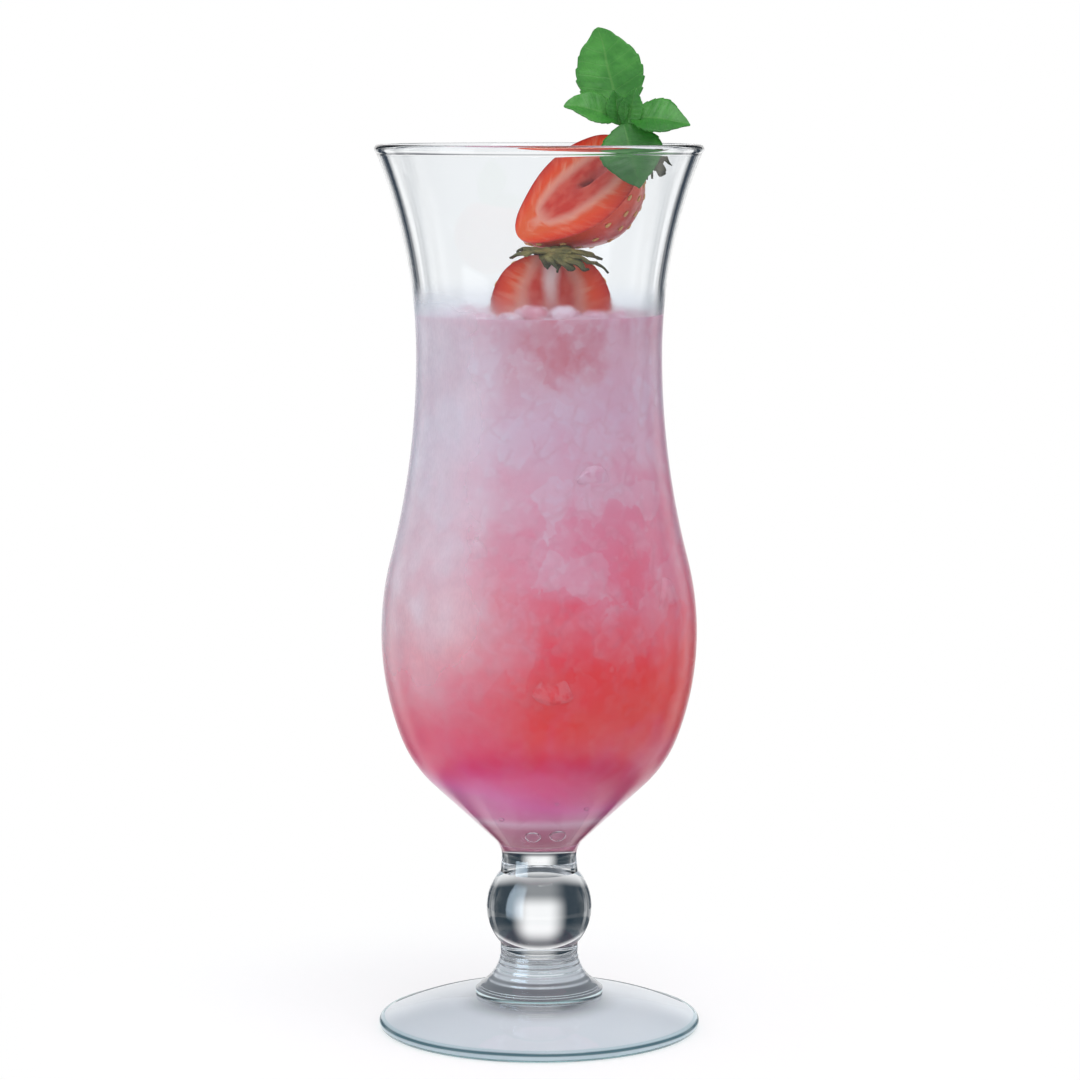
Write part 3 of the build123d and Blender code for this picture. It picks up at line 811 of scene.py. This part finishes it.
def smooth_line(points, tangents, steps):
    """Even curve through points with a direction at each."""
    line = []
    for (start, end), (leave, arrive) in zip(pairwise(points), pairwise(tangents)):
        chord = (end - start).length
        for step in range(steps):
            t = step / steps
            rest = start * (2 * t**3 - 3 * t**2 + 1) + end * (3 * t**2 - 2 * t**3)
            line.append(rest + chord * (leave * (t**3 - 2 * t**2 + t) + arrive * (t**3 - t**2)))
    line.append(points[-1])
    return line


def berry_outline(length, radius):
    """Side of a berry from tip to stem end: distance from its axis, distance from its tip."""
    shares = ((0.0, 0.0), (0.55, 0.14), (1.0, 0.56), (0.8, 0.86), (0.36, 1.0))
    points = [Vector((radius * across, length * along)) for across, along in shares]
    tangents = [Vector((1.0, 0.0)), points[2] - points[0], Vector((0.0, 1.0)), points[4] - points[2]]
    tangents.append(Vector((-1.0, 0.35)))
    return smooth_line(points, [t.normalized() for t in tangents], 14)


def skin_look():
    """Glossy red skin, paler toward the stem end."""
    look = Look("berry_skin")
    place, _, y, z = look.axes()
    deep = look.mix(look.noise(place, 140.0, 3.0), srgb(164, 20, 22), srgb(202, 50, 34))
    colour = look.mix(look.ease(z, 0.022, 0.034), deep, srgb(214, 120, 100))
    colour = look.mix(look.fade(y, 0.001, 0.007, 0.85), colour, srgb(218, 66, 26))
    relief = look.bump(look.noise(place, 900.0, 2.0), 0.15, 0.0004)
    return look.finish_solid(colour, 0.32, Coat_Weight=0.3, Coat_Roughness=0.15, Normal=relief)


def flesh_look(name, core_white, hollow_shade):
    """Cut face: red rim, orange flesh with pale fibres, pale ring and a red core with a white heart, and
    painted shade in the hollow along the core.
    """
    look = Look(name)
    place = look.add("UVMap", uv_map="cut").outputs[0]
    u, v, _ = look.split(place)
    rim = look.split(look.add("UVMap", uv_map="rim").outputs[0])[0]
    across = look.minus(look.times(u, 2.0), 1.0)
    wobble = look.minus(look.noise(place, 6.0, 3.0), 0.5)
    away = look.math("ABSOLUTE", look.plus(across, look.times(wobble, 0.12)))
    rest = look.minus(1.0, look.math("DIVIDE", look.minus(v, 0.2), 0.36, clamp=True))
    ring_at = look.math("SQRT", look.minus(1.0, look.times(rest, rest)))
    ring_at = look.times(ring_at, look.ease(v, 0.7, 1.05, 0.47, 0.2))
    below = look.times(look.minus(0.2, v), 1.6)
    off = look.math("MAXIMUM", look.minus(away, ring_at), below)
    fibre_rise = look.minus(look.times(v, 13.0), look.times(away, 3.0))
    fibre_place = look.join(look.times(across, 1.5), fibre_rise, 0.0)
    fibre = look.ease(look.noise(fibre_place, 1.5, 3.0), 0.46, 0.68)
    flesh = look.ramp(
        rim,
        (0.45, srgb(220, 86, 38)),
        (0.75, srgb(222, 64, 14)),
        (0.93, srgb(204, 44, 14)),
        (1.0, srgb(164, 22, 16)),
    )
    flesh = look.mix(look.times(fibre, look.ease(off, 0.0, 0.4, 0.65, 0.2)), flesh, srgb(228, 150, 120))
    mottle = look.noise(place, 9.0, 3.0)
    core = look.mix(look.ease(mottle, 0.38, 0.68), srgb(198, 42, 24), srgb(208, 78, 62))
    heart = look.times(look.fade(away, 0.02, 0.2), look.ease(v, 0.4, 0.85, 0.0, core_white))
    core = look.mix(heart, core, srgb(236, 214, 210))
    colour = look.mix(look.ease(off, -0.03, 0.04), core, flesh)
    ring = look.fade(look.math("ABSOLUTE", off), 0.01, 0.19, 0.72)
    colour = look.mix(ring, colour, srgb(222, 152, 134))
    # Painted shade: dark red along the hollow of the core
    slit = look.fade(look.math("ABSOLUTE", look.plus(across, 0.04)), 0.03, 0.1)
    slit = look.times(slit, look.fade(look.gap(v, 0.68), 0.08, 0.16, hollow_shade))
    colour = look.mix(look.times(slit, look.ease(mottle, 0.4, 0.55)), colour, srgb(120, 16, 20))
    relief = look.bump(look.plus(look.times(fibre, 0.4), mottle), 0.25, 0.0005)
    soft = (0.1, (0.003, 0.001, 0.001))
    return look.finish_solid(colour, 0.32, soft, Specular_IOR_Level=0.35, Normal=relief)


def seed_look():
    """Golden seeds with uneven colour."""
    look = Look("berry_seeds")
    tone = look.noise(look.axes()[0], 900.0, 2.0)
    return look.finish_solid(look.mix(tone, srgb(224, 180, 112), srgb(190, 128, 70)), 0.4)


SKIN = skin_look()
SEEDS = seed_look()


def berry_matrix(tip, lean, turn):
    """Frame of a berry: X across the cut face, Y into the fruit, Z from tip to stem end."""
    along = Vector((math.cos(lean), 0.0, math.sin(lean)))
    across = Vector((math.sin(lean), 0.0, -math.cos(lean)))
    edge = across * math.cos(turn) + across.cross(along) * math.sin(turn)
    back = along.cross(edge)
    turned = Matrix((edge, back, along)).transposed().to_4x4()
    return Matrix.Translation(Vector(tip) * MM) @ turned


def skin_point(here, angle, length, plump):
    """Point on the round side of a half berry, which bulges more at the back when it is plump."""
    full = here.x * (1 + plump * math.sin(angle) ** 2 * min(1.0, 1.6 * here.y / length))
    return polar(full, angle, here.y)


def seed_places(outline, length, plump):
    """Place, outward normal and length direction of each seed on the round side of a half berry."""
    places = []
    for index in range(SEED_COUNT):
        share = 0.06 + 0.86 * (index + 0.5) / SEED_COUNT
        spot = share * (len(outline) - 1)
        first = min(int(spot), len(outline) - 2)
        here = outline[first].lerp(outline[first + 1], spot - first)
        slope = (outline[first + 1] - outline[first]).normalized()
        angle = (index * GOLDEN_ANGLE) % math.tau
        if 0.05 < angle < math.pi - 0.05:
            turn = polar(1.0, angle, 0.0)
            normal = turn * slope.y - Vector((0.0, 0.0, slope.x))
            along = turn * slope.x + Vector((0.0, 0.0, slope.y))
            places.append((skin_point(here, angle, length, plump), normal, along))
    return places


def seed_mesh(place, normal, along):
    """Small tear-shaped seed, half sunk in the skin."""
    side = normal.cross(along)
    points = []
    rows, columns = 5, 8
    for row in range(rows + 1):
        angle = math.pi * row / rows
        ring = math.sin(angle) * (1.0 - 0.35 * math.cos(angle))
        for column in range(columns):
            turn = math.tau * column / columns
            offset = along * SEED_LENGTH * math.cos(angle) + side * SEED_WIDTH * ring * math.cos(turn)
            points.append(place + offset + normal * (SEED_RISE * ring * math.sin(turn) - SEED_SINK))
    return points, grid_faces(rows, columns, closed=True)


def cut_point(here, across, length, hollow):
    """Point on the cut face, which swells a little and may have a hollow along its core."""
    swell = CUT_SWELL * (1 - across**2) * math.sin(math.pi * min(1.0, here.y / length))
    dent = 0.0
    if hollow:
        slot = abs(across + 0.04) / 0.13
        middle = (here.y / length - 0.7) / 0.17
        dent = hollow * max(0.0, 1 - slot**2 - middle**2)
    return Vector((across * here.x, dent - swell, here.y))


def build_berry(name, length, radius, matrix, hollow, plump, flesh, body, node):
    """Half strawberry: dimpled skin with seeds, and a wet cut face."""
    outline = berry_outline(length, radius)
    places = seed_places(outline, length, plump)
    tree = kdtree.KDTree(len(places))
    for index, (place, _, _) in enumerate(places):
        tree.insert(place, index)
    tree.balance()
    points, faces, marks = [Vector((0.0, 0.0, 0.0))], [], []
    cut_uv, rim_uv = [(0.5, 0.0)], [(1.0, 0.0)]
    loops = []
    for here in outline[1:]:
        ring = []
        for step in range(SKIN_STEPS + 1):
            spot = skin_point(here, math.pi * step / SKIN_STEPS, length, plump)
            _, index, gap = tree.find(spot)
            if 0 < step < SKIN_STEPS and gap < DIMPLE_REACH:
                spot -= places[index][1] * DIMPLE_DEPTH * (1 - (gap / DIMPLE_REACH) ** 2) ** 2
            ring.append(spot)
        for step in range(1, CUT_STEPS):
            ring.append(cut_point(here, -1 + 2 * step / CUT_STEPS, length, hollow))
        cut_uv += [((spot.x / radius + 1) / 2, here.y / length) for spot in ring]
        rim_uv += [(min(1.0, abs(spot.x) / here.x), 0.0) for spot in ring]
        loops.append(range(len(points), len(points) + len(ring)))
        points += ring
    size = len(loops[0])
    for step in range(size):
        after = (step + 1) % size
        kind = 0 if step < SKIN_STEPS else 1
        faces.append((0, loops[0][after], loops[0][step]))
        for low, high in pairwise(loops):
            faces.append((low[step], low[after], high[after], high[step]))
        marks += [kind] * len(loops)
    faces.append(tuple(loops[-1]))
    marks.append(0)
    made = piece(name, points, faces, [SKIN, flesh], marks, crease=50.0)
    add_uvs(made, "cut", cut_uv)
    add_uvs(made, "rim", rim_uv)
    made.matrix_world = matrix
    settle(made, body, "strawberry", node)
    seeds = piece(name + "_seeds", *gather([seed_mesh(*p) for p in places]), [SEEDS], crease=80.0)
    seeds.matrix_world = matrix
    settle(seeds, body, "strawberry")


def build_berries():
    """Lower half upright with a white heart; upper half leaning, plumper and hollow along its core."""
    matrix = berry_matrix(LOWER_TIP, RIGHT_ANGLE, 0.0)
    flesh = flesh_look("lower_flesh", 0.95, 0.0)
    shape = (LOWER_LENGTH, LOWER_RADIUS, matrix, 0.0, 0.0)
    build_berry("lower_strawberry", *shape, flesh, "lower_garnish", "lower_berry")
    matrix = berry_matrix(UPPER_TIP, UPPER_LEAN, UPPER_TURN)
    flesh = flesh_look("upper_flesh", 0.2, 0.9)
    shape = (UPPER_LENGTH, UPPER_RADIUS, matrix, 2.2, 0.2)
    build_berry("upper_strawberry", *shape, flesh, "upper_garnish", "upper_berry")


# Leaves and sepals: grid, thickness and edges. Each mint leaf has its node, start, reach, facing, width,
# fold, arch and bluntness
BLADE_ROWS = 72
BLADE_COLUMNS = 16
LEAF_THICKNESS = 0.35
SEPAL_THICKNESS = 0.5
LEAF_EDGE = {"teeth": 8, "tooth": 0.03, "skew": 0.909, "quilt": 0.12, "ragged": 0.4}
SEPAL_EDGE = {"teeth": 3, "tooth": 0.08, "skew": 0.7, "quilt": 0.1, "ragged": 1.6, "blunt": 0.9}
MINT_TOP = Vector((19.6, 0.6, 217.0))
MINT_LEAVES = (
    ("mint_leaf_back", (-0.6, 1.6, -0.5), (-5.2, 3.8, 20.6), (0.0, -1.0, 0.2), 15.5, 0.12, -0.8, 0.7),
    ("mint_leaf_left", (-1.4, -0.8, -1.2), (-12.3, -3.4, 3.2), (0.3, -0.7, 0.7), 9.5, 0.25, 0.8, 0.8),
    ("mint_leaf_right", (1.4, -0.8, -1.0), (14.0, -3.2, -1.7), (0.1, -0.7, 0.7), 11.0, 0.2, 1.0, 0.9),
    ("mint_leaf_front", (0.0, -1.3, -2.2), (3.6, -5.8, -14.6), (0.1, -0.9, -0.1), 14.6, 0.12, 0.8, 1.0),
    ("mint_bud_left", (-0.9, -0.9, -2.6), (-1.2, -2.0, 8.0), (0.0, -1.0, 0.2), 5.2, 0.4, 0.4, 0.8),
    ("mint_bud_right", (0.9, -0.9, -3.0), (2.0, -2.4, 9.0), (0.0, -1.0, 0.2), 5.6, 0.4, 0.4, 0.8),
)

# Lower sepals: angle, reach and drop. Upper sepals: angle and reach, and the reach of two that hang
CROWN_RISE = 0.4
LOWER_SEPALS = (
    (-12.0, 13.5, 4.4),
    (10.0, 12.5, 1.4),
    (-32.0, 10.0, 4.6),
    (-52.0, 8.0, 4.2),
    (-75.0, 5.2, 4.0),
    (-105.0, 3.4, 3.2),
    (40.0, 9.0, 0.8),
    (75.0, 8.0, 0.6),
    (120.0, 8.0, 0.6),
    (158.0, 9.0, 0.4),
    (186.0, 10.0, 1.6),
)
UPPER_SEPALS = ((14.0, 9.5), (45.0, 8.5), (85.0, 7.0))
HANGING_SEPALS = ((9.8, -3.6, -3.2), (9.2, -3.4, -6.2))


def blade(start, reach, facing, width, fold, arch, blunt, teeth, tooth, skew, quilt, ragged):
    """Points, faces and UVs of a leaf: toothed, folded at the midrib, arched, quilted and a little ragged."""
    along = Vector(reach)
    face = Vector(facing)
    normal = (face - along * (face.dot(along) / along.dot(along))).normalized()
    side = normal.cross(along).normalized()
    points, uvs = [], []
    for row in range(BLADE_ROWS + 1):
        share = row / BLADE_ROWS
        half = width / 2 * max(0.0, math.sin(math.pi * share**skew)) ** blunt
        tip_fade = (1 - 0.7 * share) * min(1.0, 6 * (1 - share))
        half += along.length * tooth * tip_fade * (share * teeth % 1.0)
        half = max(half, 0.12)
        for column in range(BLADE_COLUMNS + 1):
            across = -1 + 2 * column / BLADE_COLUMNS
            away = abs(across)
            lift = fold * away * half + arch * (1 - (2 * share - 1) ** 2)
            vein = abs(math.sin(math.pi * (share * teeth - away * 0.9)))
            lift += quilt * vein * math.sin(math.pi * away) * math.sin(math.pi * share)
            spot = Vector(start) + along * share + side * across * half + normal * lift
            points.append(spot + noise.noise_vector(spot * 0.35) * ragged * share)
            uvs.append((column / BLADE_COLUMNS, share))
    return points, grid_faces(BLADE_ROWS, BLADE_COLUMNS), uvs


def plate(name, parts, material, thickness):
    """Thin piece from one or more blades, with its UVs and a thickness."""
    points, faces = gather([(p, f) for p, f, _ in parts])
    made = piece(name, points, faces, [material], crease=60.0)
    add_uvs(made, "leaf", [uv for _, _, uvs in parts for uv in uvs])
    solid = made.modifiers.new("thickness", "SOLIDIFY")
    solid.thickness = thickness * MM
    solid.offset = 0.0
    return made


def leaf_look():
    """Mint leaf: bright green, paler midrib and side veins, fine crinkles, and painted shade that makes it
    darker low down.
    """
    look = Look("mint_leaf")
    _, u, v, _ = look.axes("UV")
    spot, _, _, height = look.axes()
    away = look.math("ABSOLUTE", look.minus(look.times(u, 2.0), 1.0))
    rib = look.fade(away, 0.01, 0.06, 0.55)
    wave = look.minus(look.times(v, 7.0), look.times(away, 0.9))
    wave = look.math("ABSOLUTE", look.math("SINE", look.times(wave, math.pi)))
    veins = look.fade(wave, 0.02, 0.2, 0.22)
    tone = look.ease(look.noise(spot, 190.0, 3.0), 0.3, 0.7)
    green = look.mix(tone, srgb(50, 122, 44), srgb(76, 150, 62))
    colour = look.mix(look.math("MAXIMUM", rib, veins), green, srgb(96, 152, 74))
    # Painted shade: darker low down, below about 0.21 m
    colour = look.mix(look.fade(height, 0.204, 0.216, 0.6), colour, srgb(24, 70, 26))
    relief = look.bump(look.minus(look.noise(spot, 650.0, 2.0), veins), 0.3, 0.0005)
    return look.finish_solid(colour, 0.42, (0.1, (0.001, 0.002, 0.0005)), Normal=relief)


def sepal_look():
    """Calyx: olive green, dry and darker toward the tips."""
    look = Look("calyx_leaf")
    _, _, v, _ = look.axes("UV")
    spot = look.axes()[0]
    tone = look.ease(look.noise(spot, 420.0, 3.0), 0.3, 0.7)
    green = look.mix(tone, srgb(80, 80, 38), srgb(130, 120, 68))
    colour = look.mix(look.ease(v, 0.45, 1.0), green, srgb(60, 64, 38))
    return look.finish_solid(colour, 0.6, Normal=look.bump(look.noise(spot, 900.0, 2.0), 0.4, 0.0005))


def grain_look(name, stretch, scale, detail, colours, roughness):
    """Stalk or wood: two colours mixed in fine lines along it."""
    look = Look(name)
    lines = look.noise(look.stretch(look.axes()[0], (1.0, 1.0, stretch)), scale, detail)
    return look.finish_solid(look.mix(lines, *colours), roughness)


def build_mint():
    """Four leaves and two bud leaves round the top of the mint stem."""
    material = leaf_look()
    for node, start, reach, facing, width, fold, arch, blunt in MINT_LEAVES:
        part = blade(MINT_TOP + Vector(start), reach, facing, width, fold, arch, blunt, **LEAF_EDGE)
        made = plate(node + "_blade", [part], material, LEAF_THICKNESS)
        settle(made, "mint", "mint_green", node)


def build_calyxes():
    """Ragged sepals round the stem end of each berry."""
    material = sepal_look()
    crown = Vector(LOWER_TIP) + Vector((0.0, 0.0, LOWER_LENGTH + CROWN_RISE))
    parts = []
    for angle, length, drop in LOWER_SEPALS:
        way = polar(1.0, math.radians(angle), 0.0)
        reach = way * length + Vector((0.0, 0.0, -drop))
        facing = way * drop + Vector((0.0, 0.0, length))
        parts.append(blade(crown, reach, facing, 4.4, -0.2, 1.5, **SEPAL_EDGE))
    made = plate("lower_sepals", parts, material, SEPAL_THICKNESS)
    settle(made, "lower_garnish", "calyx_green", "lower_calyx")
    matrix = berry_matrix(UPPER_TIP, UPPER_LEAN, UPPER_TURN).to_3x3()
    up = matrix @ Vector((0.0, 0.0, 1.0))
    crown = Vector(UPPER_TIP) + matrix @ Vector((0.0, 0.0, UPPER_LENGTH + CROWN_RISE))
    parts = []
    for angle, length in UPPER_SEPALS:
        way = matrix @ polar(1.0, math.radians(angle), 0.0)
        reach = way * length - matrix @ Vector((0.0, 0.0, 0.8))
        parts.append(blade(crown, reach, up, 4.6, -0.2, 1.2, **SEPAL_EDGE))
    hanging_edge = {**SEPAL_EDGE, "teeth": 4, "tooth": 0.1}
    for reach in HANGING_SEPALS:
        parts.append(blade(crown, reach, (0.0, -1.0, 0.3), 3.6, 0.1, 0.6, **hanging_edge))
    made = plate("upper_sepals", parts, material, SEPAL_THICKNESS)
    settle(made, "upper_garnish", "calyx_green", "upper_calyx")


# Water drops near the bottom of the bowl: angle, height and radius
WATER_IOR = 1.33
DROP_FLATNESS = 0.75
DROPS = (
    (-96.0, 48.4, 1.9),
    (-72.0, 48.6, 2.0),
    (-60.0, 56.0, 0.6),
    (-118.0, 53.0, 0.7),
    (-80.0, 58.0, 0.5),
)


def drop_look():
    """Clear water with a faint ripple."""
    look = Look("water_drops")
    relief = look.bump(look.noise(look.axes()[0], 400.0, 1.0), 0.05, 0.0004)
    return look.finish_clear(GLASS_TINT, 0.0, IOR=WATER_IOR, Normal=relief)


def build_drops():
    """Small flat drops that sit on the outside of the bowl."""
    outside = outer_wall()
    rows, columns = 10, 24
    faces = [(a, d, c, b) for a, b, c, d in grid_faces(rows, columns, closed=True)]
    parts = []
    for angle, height, size in DROPS:
        turn = math.radians(angle)
        radius = radius_at(outside, height)
        slope = (radius_at(outside, height + 1.0) - radius_at(outside, height - 1.0)) / 2
        out = (polar(1.0, turn, 0.0) - Vector((0.0, 0.0, slope))).normalized()
        side = Vector((-math.sin(turn), math.cos(turn), 0.0))
        rise = out.cross(side) * DROP_FLATNESS
        points = []
        for row in range(rows + 1):
            tilt = math.pi * row / rows
            ring = size * math.sin(tilt)
            middle = polar(radius, turn, height) + out * size * DROP_FLATNESS * math.cos(tilt)
            for column in range(columns):
                spin_angle = math.tau * column / columns
                points.append(middle + (side * math.cos(spin_angle) + rise * math.sin(spin_angle)) * ring)
        parts.append((points, faces))
    made = piece("water_drops", *gather(parts), [drop_look()], crease=80.0)
    settle(made, "glass", "clear_glass")


build_bowl()
build_stem()
build_foot()
build_drink()
build_ice()
build_berries()
build_mint()
build_calyxes()
build_drops()

STALK = grain_look("mint_stalk", 0.1, 1600.0, 2.0, (srgb(92, 140, 62), srgb(150, 176, 106)), 0.45)
WOOD = grain_look("pick_wood", 0.06, 1800.0, 3.0, (srgb(216, 178, 124), srgb(160, 116, 68)), 0.6)
for node, material in (("mint_stem", STALK), ("garnish_pick", WOOD)):
    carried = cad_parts[node]
    carried.data.materials.clear()
    carried.data.materials.append(material)

# Studio as glass sees it: white behind, narrow dark screens beside, a dark ceiling and a grey front.
# Angles are in degrees, from straight behind for the screens and above the level for the heights
SCREENS = ((18.0, 22.0, 35.0, 39.0), (52.0, 55.0, 64.0, 70.0))
SCREEN_LEVEL = (-50.0, -35.0)
CEILING_LEVEL = (9.0, 26.0)
FRONT_REACH = (-0.05, 0.4)
DARK = (0.05, 0.066, 0.088, 1.0)
ROOM = (0.86, 0.88, 0.91, 1.0)
WHITE = (1.0, 1.0, 1.0, 1.0)
CEILING = (0.09, 0.10, 0.12, 1.0)
FRONT = (0.36, 0.38, 0.41, 1.0)

# Floor: size, fade and colour, and the ring on it where glass sees the tone of the flags, in metres
FLOOR_RADIUS = 0.14
FLOOR_FADE = (0.07, 0.135)
FLOOR_GREY = (0.5, 0.5, 0.5, 1.0)
FLOOR_RING = (0.040, 0.068, 0.087, 0.097)

# Dark flags round the stem. Each window in them has its middle, the angles off it where it is full and
# where it is gone, in degrees, and its level
FLAG_RADIUS = 86.0
FLAG_HEIGHT = 72.0
FLAG_SPAN = (-60.0, 240.0)
FLAG_TOP = (0.056, 0.072)
FLAG = (0.012, 0.028, 0.042, 1.0)
FLAG_WINDOWS = ((0.0, 5.0, 20.0, 1.0), (45.0, 2.0, 6.0, 0.3), (90.0, 6.0, 22.0, 0.9), (135.0, 3.0, 9.0, 0.4))
WINDOW_FOOT = 0.25
WINDOW_RISE = (0.0, 0.014)
WINDOW_TOP = (0.032, 0.054)

# Card whose image runs down the stem
STRIP_TURN = math.radians(219.0)
STRIP_AWAY = 60.0
STRIP_WIDTH = 24.0
STRIP_HEIGHTS = (1.0, 104.0)
STRIP_SIDES = (0.017, 0.024)
STRIP_FOOT = (0.001, 0.026)
STRIP_TOP = (0.066, 0.104)
STRIP_LEVEL = 7.0
STRIP_TINT = (0.66, 0.84, 1.0, 1.0)

# Lamps: name, place, target, width, height, watts and colour
LAMPS = (
    ("key", (-0.78, -0.45, 0.22), (0.0, 0.0, 0.12), 0.45, 0.7, 0.9, (0.95, 0.98, 1.0)),
    ("top", (0.15, -0.35, 0.95), (0.0, 0.0, 0.15), 0.5, 0.5, 2.0, (1.0, 1.0, 1.0)),
)
CAMERA_PLACE = (0.0002, -0.898, 0.220)
CAMERA_DIP = 6.55
CAMERA_LENS = 127.5
CAMERA_SENSOR = 36.0


def ray_kinds(look):
    """Shares of camera rays, of mirrored rays, and of rays that glass has sent on without a matt bounce."""
    path = look.add("LightPath").outputs
    sharp = look.minus(1.0, path["Diffuse Depth"], clamp=True)
    mirrored = look.times(look.math("MINIMUM", path["Glossy Depth"], 1.0), sharp)
    through = look.times(path["Is Transmission Ray"], sharp)
    return path["Is Camera Ray"], mirrored, look.math("MAXIMUM", mirrored, through)


def screens(look, x, y):
    """Share of the dark screens in a direction from the axis of the glass."""
    turn = look.bearing(x, y)
    shares = [look.band(turn, *map(math.radians, edges)) for edges in SCREENS]
    return look.math("MAXIMUM", *shares)


def windows(look, x, y):
    """Share of bright window in each direction round the axis, out of the dark flags."""
    turn = look.bearing(x, y)
    light = 0.0
    for middle, full, fade, level in FLAG_WINDOWS:
        off = look.gap(turn, math.radians(middle))
        share = look.fade(off, math.radians(full), math.radians(fade), level)
        light = look.math("MAXIMUM", light, share)
    return light


def build_world():
    """White to the camera, a plain room to matt surfaces and the studio to glass."""
    world = bpy.data.worlds.new("studio")
    world.use_nodes = True
    look = Nodes(world.node_tree)
    _, x, y, z = look.axes("Generated")
    screen_level, ceiling_level = [
        look.ease(z, *[math.sin(math.radians(angle)) for angle in level])
        for level in (SCREEN_LEVEL, CEILING_LEVEL)
    ]
    studio = look.mix(look.times(screens(look, x, y), screen_level), WHITE, DARK)
    studio = look.mix(ceiling_level, studio, CEILING)
    seen, mirrored, glassy = ray_kinds(look)
    studio = look.mix(look.times(look.fade(y, *FRONT_REACH), mirrored), studio, FRONT)
    colour = look.mix(seen, look.mix(glassy, ROOM, studio), WHITE)
    background = look.by_name(look.add("Background"), Color=colour, Strength=1.0)
    look.feed(look.add("OutputWorld").inputs["Surface"], background)
    bpy.context.scene.world = world


def build_floor():
    """Small pale floor that keeps the soft shadow and fades into the white ground."""
    look = Look("pale_floor")
    _, x, y, _ = look.axes()
    away = look.from_axis(x, y)
    matt = look.by_name(look.add("BsdfDiffuse"), Color=FLOOR_GREY)
    lit = look.both(matt, look.emission(WHITE, 0.5))
    shown = look.either(look.ease(away, *FLOOR_FADE), lit, look.emission(WHITE, 1.0))
    ring = look.mix(look.times(windows(look, x, y), WINDOW_FOOT), FLAG, WHITE)
    tone = look.mix(look.band(away, *FLOOR_RING), WHITE, ring)
    material = look.finish(look.either(ray_kinds(look)[2], shown, look.emission(tone, 1.0)))
    steps = 96
    points = [polar(FLOOR_RADIUS / MM, math.tau * step / steps, -0.02) for step in range(steps)]
    return piece("floor", points, [tuple(range(steps))], [material])


def hide(made, through, mirrored):
    """Keep a studio card from all but rays through glass, mirrored rays, or both."""
    made.visible_camera = False
    made.visible_diffuse = False
    made.visible_shadow = False
    made.visible_transmission = through
    made.visible_glossy = mirrored


def build_flags():
    """Low ring of dark flags with bright windows, seen only through glass; its top fades to white."""
    look = Look("flags")
    _, x, y, z = look.axes()
    height = look.times(look.ease(z, *WINDOW_RISE, WINDOW_FOOT, 1.0), look.ease(z, *WINDOW_TOP, 1.0, 0.2))
    shade = look.mix(look.times(windows(look, x, y), height), FLAG, WHITE)
    shade = look.mix(look.ease(z, *FLAG_TOP), shade, WHITE)
    material = look.finish(look.emission(look.mix(ray_kinds(look)[2], ROOM, shade), 1.0))
    steps = 120
    first, last = FLAG_SPAN
    points = []
    for step in range(steps + 1):
        angle = math.radians(first + (last - first) * step / steps)
        points += [polar(FLAG_RADIUS, angle, 0.0), polar(FLAG_RADIUS, angle, FLAG_HEIGHT)]
    made = piece("flags", points, grid_faces(steps, 1), [material])
    hide(made, through=True, mirrored=False)
    return made


def build_strip():
    """Tall pale card at the front left, for the stem's reflections alone."""
    side = Vector((-math.sin(STRIP_TURN), math.cos(STRIP_TURN), 0.0))
    look = Look("strip")
    _, x, y, z = look.axes()
    across = look.math("ABSOLUTE", look.plus(look.times(x, side.x), look.times(y, side.y)))
    ends = look.times(look.ease(z, *STRIP_FOOT), look.fade(z, *STRIP_TOP, STRIP_LEVEL))
    lit = look.times(look.fade(across, *STRIP_SIDES), ends)
    lit = look.times(lit, ray_kinds(look)[1])
    material = look.finish(look.both(look.clear(), look.emission(STRIP_TINT, lit)))
    low, high = [polar(STRIP_AWAY, STRIP_TURN, height) for height in STRIP_HEIGHTS]
    edge = side * STRIP_WIDTH
    points = [low - edge, low + edge, high + edge, high - edge]
    made = piece("strip", points, [(0, 1, 2, 3)], [material])
    hide(made, through=False, mirrored=True)
    stem_alone = bpy.data.collections.new("strip_receivers")
    stem_alone.objects.link(bpy.data.objects["stem_glass"])
    made.light_linking.receiver_collection = stem_alone
    return made


def lamp(name, place, target, width, height, watts, colour):
    """Soft rectangular lamp that faces its target."""
    light = bpy.data.lights.new(name, "AREA")
    light.shape = "RECTANGLE"
    light.size = width
    light.size_y = height
    light.energy = watts
    light.color = colour
    made = bpy.data.objects.new(name, light)
    bpy.context.scene.collection.objects.link(made)
    made.location = place
    made.rotation_euler = (Vector(target) - Vector(place)).to_track_quat("-Z", "Y").to_euler()
    return made


def build_camera():
    """Long lens in front of the glass, looking a little down."""
    camera = bpy.data.cameras.new("camera")
    camera.lens = CAMERA_LENS
    camera.sensor_width = CAMERA_SENSOR
    made = bpy.data.objects.new("camera", camera)
    bpy.context.scene.collection.objects.link(made)
    made.location = CAMERA_PLACE
    made.rotation_euler = (math.radians(90.0 - CAMERA_DIP), 0.0, 0.0)
    bpy.context.scene.camera = made


build_world()
build_camera()
build_floor()
build_flags()
build_strip()
[lamp(*entry) for entry in LAMPS]
bpy.context.scene.view_settings.view_transform = "Standard"
